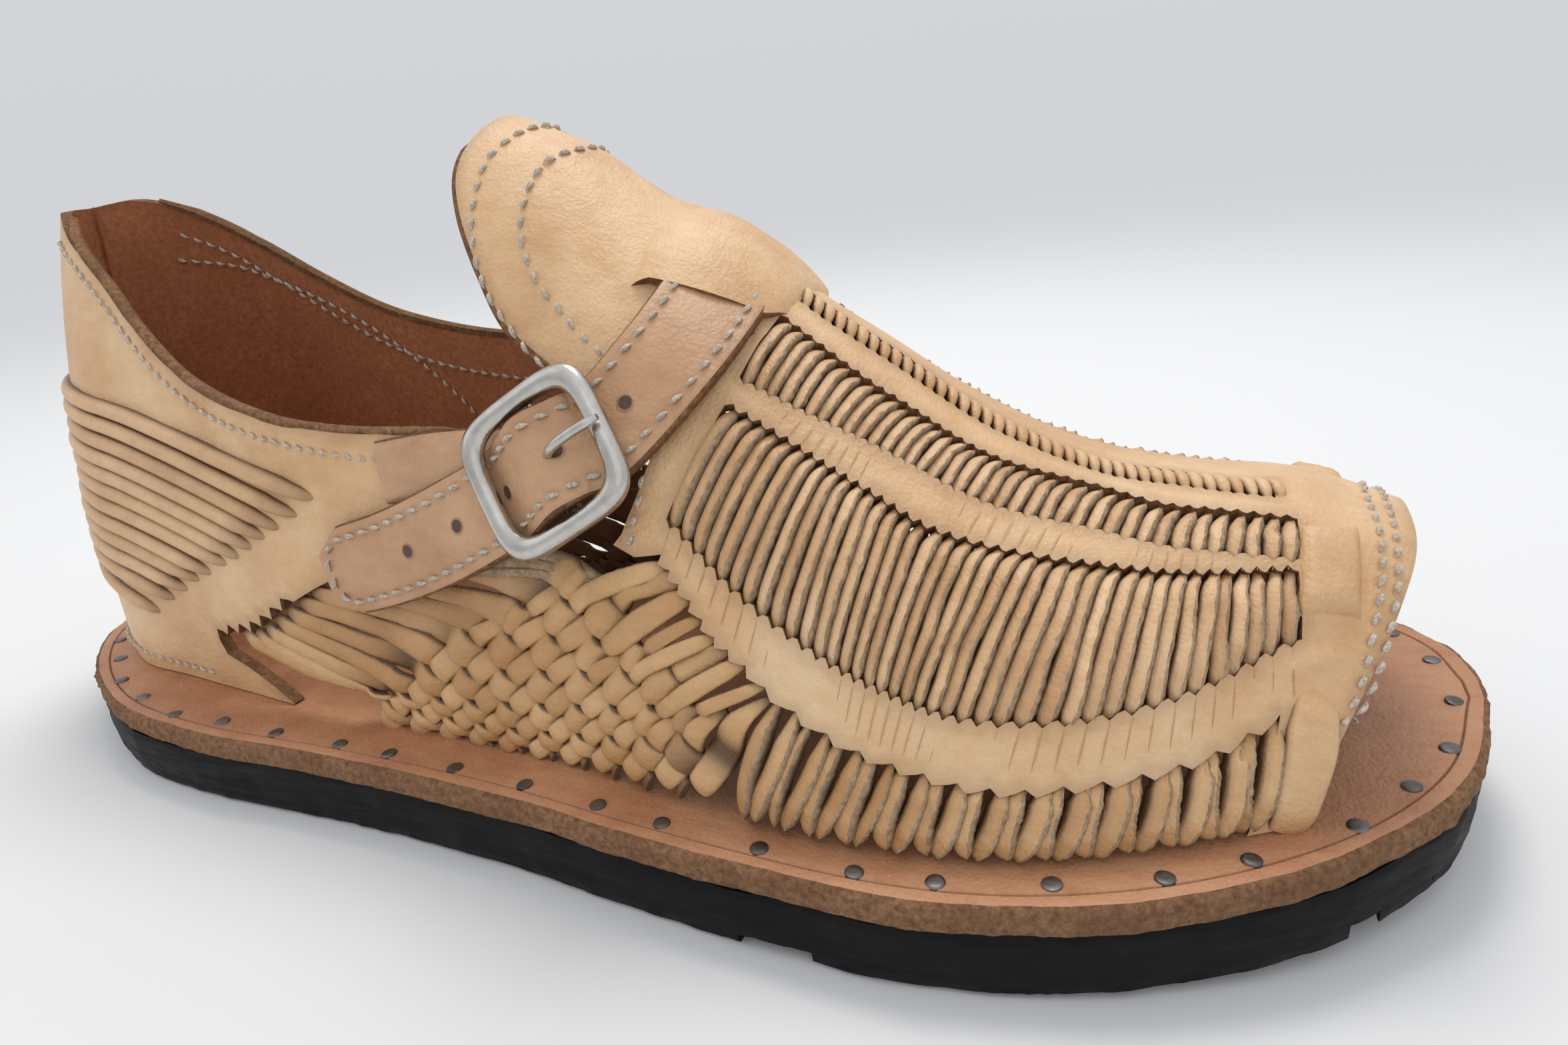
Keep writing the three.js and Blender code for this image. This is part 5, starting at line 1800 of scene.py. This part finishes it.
def nails():
    rng = np.random.default_rng(81)
    ring, _ = sole_outline(NAILS["spacing"])
    fine, fine_normal = sole_outline(0.9)
    builder = Builder()
    turns = angles_round(14)
    for place in ring:
        k = int(np.argmin(np.linalg.norm(fine - place, axis=1)))
        k = (k + int(rng.integers(-2, 3))) % len(fine)
        x, y = fine[k] + fine_normal[k] * (NAILS["inset"] + rng.normal(0, 0.35))
        base = np.array([x, y, FOOTBED_TOP + float(lift(x)) - 0.12])
        tilt = rng.normal(0, 0.06, 2)
        loops = []
        for radius, height in NAIL_PROFILE:
            r = radius * NAILS["radius"] * (1 + 0.03 * rng.normal())
            dx, dy = r * np.cos(turns), r * np.sin(turns)
            dz = height * NAILS["rise"] + tilt[0] * dx + tilt[1] * dy
            loops.append(base + np.column_stack([dx, dy, dz]))
        builder.add_loft(loops, 1.0)
    return ride(builder.make("nails", [NAIL_LOOK], 50), "footbed")


LINING = 1.6  # thickness of the second leather
LINING_OUTLINE = [(120, 150), (120, 105), (152, 80), (172, 73), (194, 84), (194, 150)]


def tongue_lining():
    inset = WALL + GAP
    shell = upper_form("tongue_lining_leather", inset, UPPER_FRONT, 0, 3, 90, INSIDE_LOOK, raised=0.0)
    hollow = upper_form("hollow", inset + LINING, UPPER_FRONT + 6, 6, 5, 60, INSIDE_LOOK, raised=0.0)
    cut(shell, [hollow, prism("rim", rim_outline(), EDGE_LOOK, RIM_TILT)])
    cut(shell, [prism("patch", LINING_OUTLINE, EDGE_LOOK)], "INTERSECT")
    shade_smooth(shell.data, 35)
    set_attribute(shell, "shade", np.ones(len(shell.data.vertices)))
    return ride(shell, "tongue_lining", "tongue_lining")


# ---- camera, light and floor ----
CAMERA = {"x": 254.85, "y": -151.7, "z": 107.49, "yaw": -25.233, "pitch": 20.206, "roll": -5.266}
LENS = {"focal": 21.76684, "sensor": 36}


def add_camera():
    yaw, pitch, roll = (math.radians(CAMERA[k]) for k in ("yaw", "pitch", "roll"))
    look = Vector((math.sin(yaw) * math.cos(pitch), math.cos(yaw) * math.cos(pitch), -math.sin(pitch)))
    right = Vector((math.cos(yaw), -math.sin(yaw), 0))
    up = right.cross(look)
    turned_right = math.cos(roll) * right + math.sin(roll) * up
    turned_up = -math.sin(roll) * right + math.cos(roll) * up
    data = bpy.data.cameras.new("camera")
    data.sensor_width = LENS["sensor"]
    data.lens = LENS["focal"]
    data.clip_start = 0.01
    camera = bpy.data.objects.new("camera", data)
    bpy.context.scene.collection.objects.link(camera)
    axes = Matrix((turned_right, turned_up, -look)).transposed()
    place = Vector([(CAMERA[k] - m) * MM for k, m in zip("xyz", MIDDLE)])
    camera.matrix_world = Matrix.Translation(place) @ axes.to_4x4()
    bpy.context.scene.camera = camera


def add_area(name, place, target, size, power, colour=(1, 1, 1)):
    data = bpy.data.lights.new(name, "AREA")
    data.shape = "DISK"
    data.size = size
    data.energy = power
    data.color = colour
    light = bpy.data.objects.new(name, data)
    bpy.context.scene.collection.objects.link(light)
    light.location = place
    light.rotation_euler = (Vector(target) - Vector(place)).to_track_quat("-Z", "Y").to_euler()


SKY = {"colour": (0.965, 0.985, 1.02, 1), "horizon": 0.66, "rise": 0.40}


def add_sky():
    """Even tent light. It is pale at the horizon, where it meets the floor, and brighter above."""
    world = bpy.data.worlds.new("studio")
    bpy.context.scene.world = world
    world.use_nodes = True
    nodes = Nodes(world.node_tree)
    place = nodes.node("ShaderNodeTexCoord").outputs["Generated"]
    parts = nodes.node("ShaderNodeSeparateXYZ", {0: place})
    rise = nodes.math("POWER", parts.outputs["Z"], 2.0)
    inputs = {0: rise, 1: SKY["rise"], 2: SKY["horizon"]}
    strength = nodes.node("ShaderNodeMath", inputs, operation="MULTIPLY_ADD").outputs[0]
    background = nodes.tree.nodes["Background"]
    nodes.put(SKY["colour"], background.inputs["Color"])
    nodes.put(strength, background.inputs["Strength"])


FLOOR = {"size": 60.0, "colour": (0.77, 0.77, 0.77, 1)}


def add_stage():
    bpy.ops.mesh.primitive_plane_add(size=FLOOR["size"], location=(0, 0, 0))
    floor = bpy.context.object
    floor.name = "floor"
    look = Look("floor", roughness=1.0, specular=0.0)
    floor.data.materials.append(look.finish(FLOOR["colour"]))
    add_sky()
    middle = (0.02, 0, 0.04)
    add_area("key", (-0.05, 0.28, 0.85), middle, 0.35, 2.9, (1.0, 0.98, 0.94))
    add_area("front_fill", (0.35, -0.75, 0.5), middle, 0.9, 0.5, (0.95, 0.97, 1.0))
    add_area("left_fill", (-0.75, -0.3, 0.5), middle, 0.7, 0.4, (1.0, 1.0, 1.0))
    bpy.context.scene.view_settings.view_transform = "Standard"


add_camera()
add_stage()
build_upper()
row_of_folds("wide_row", WIDE_ROW, 0.75, 0.05, 3)
row_of_folds("middle_row", MIDDLE_ROW, 0.5, -0.05, 4)
leaf_pairs()
woven_panel()
heel_ribs()
centre_row()
flat_strips()
keeper_patches()
score_lines()
tongue_bridge()
rim_edges()
seams()
instep_strap()
strap_holes()
strap_stitches()
chape()
buckle()
prong()
footbed()
rubber_sole()
nails()
tongue_lining()
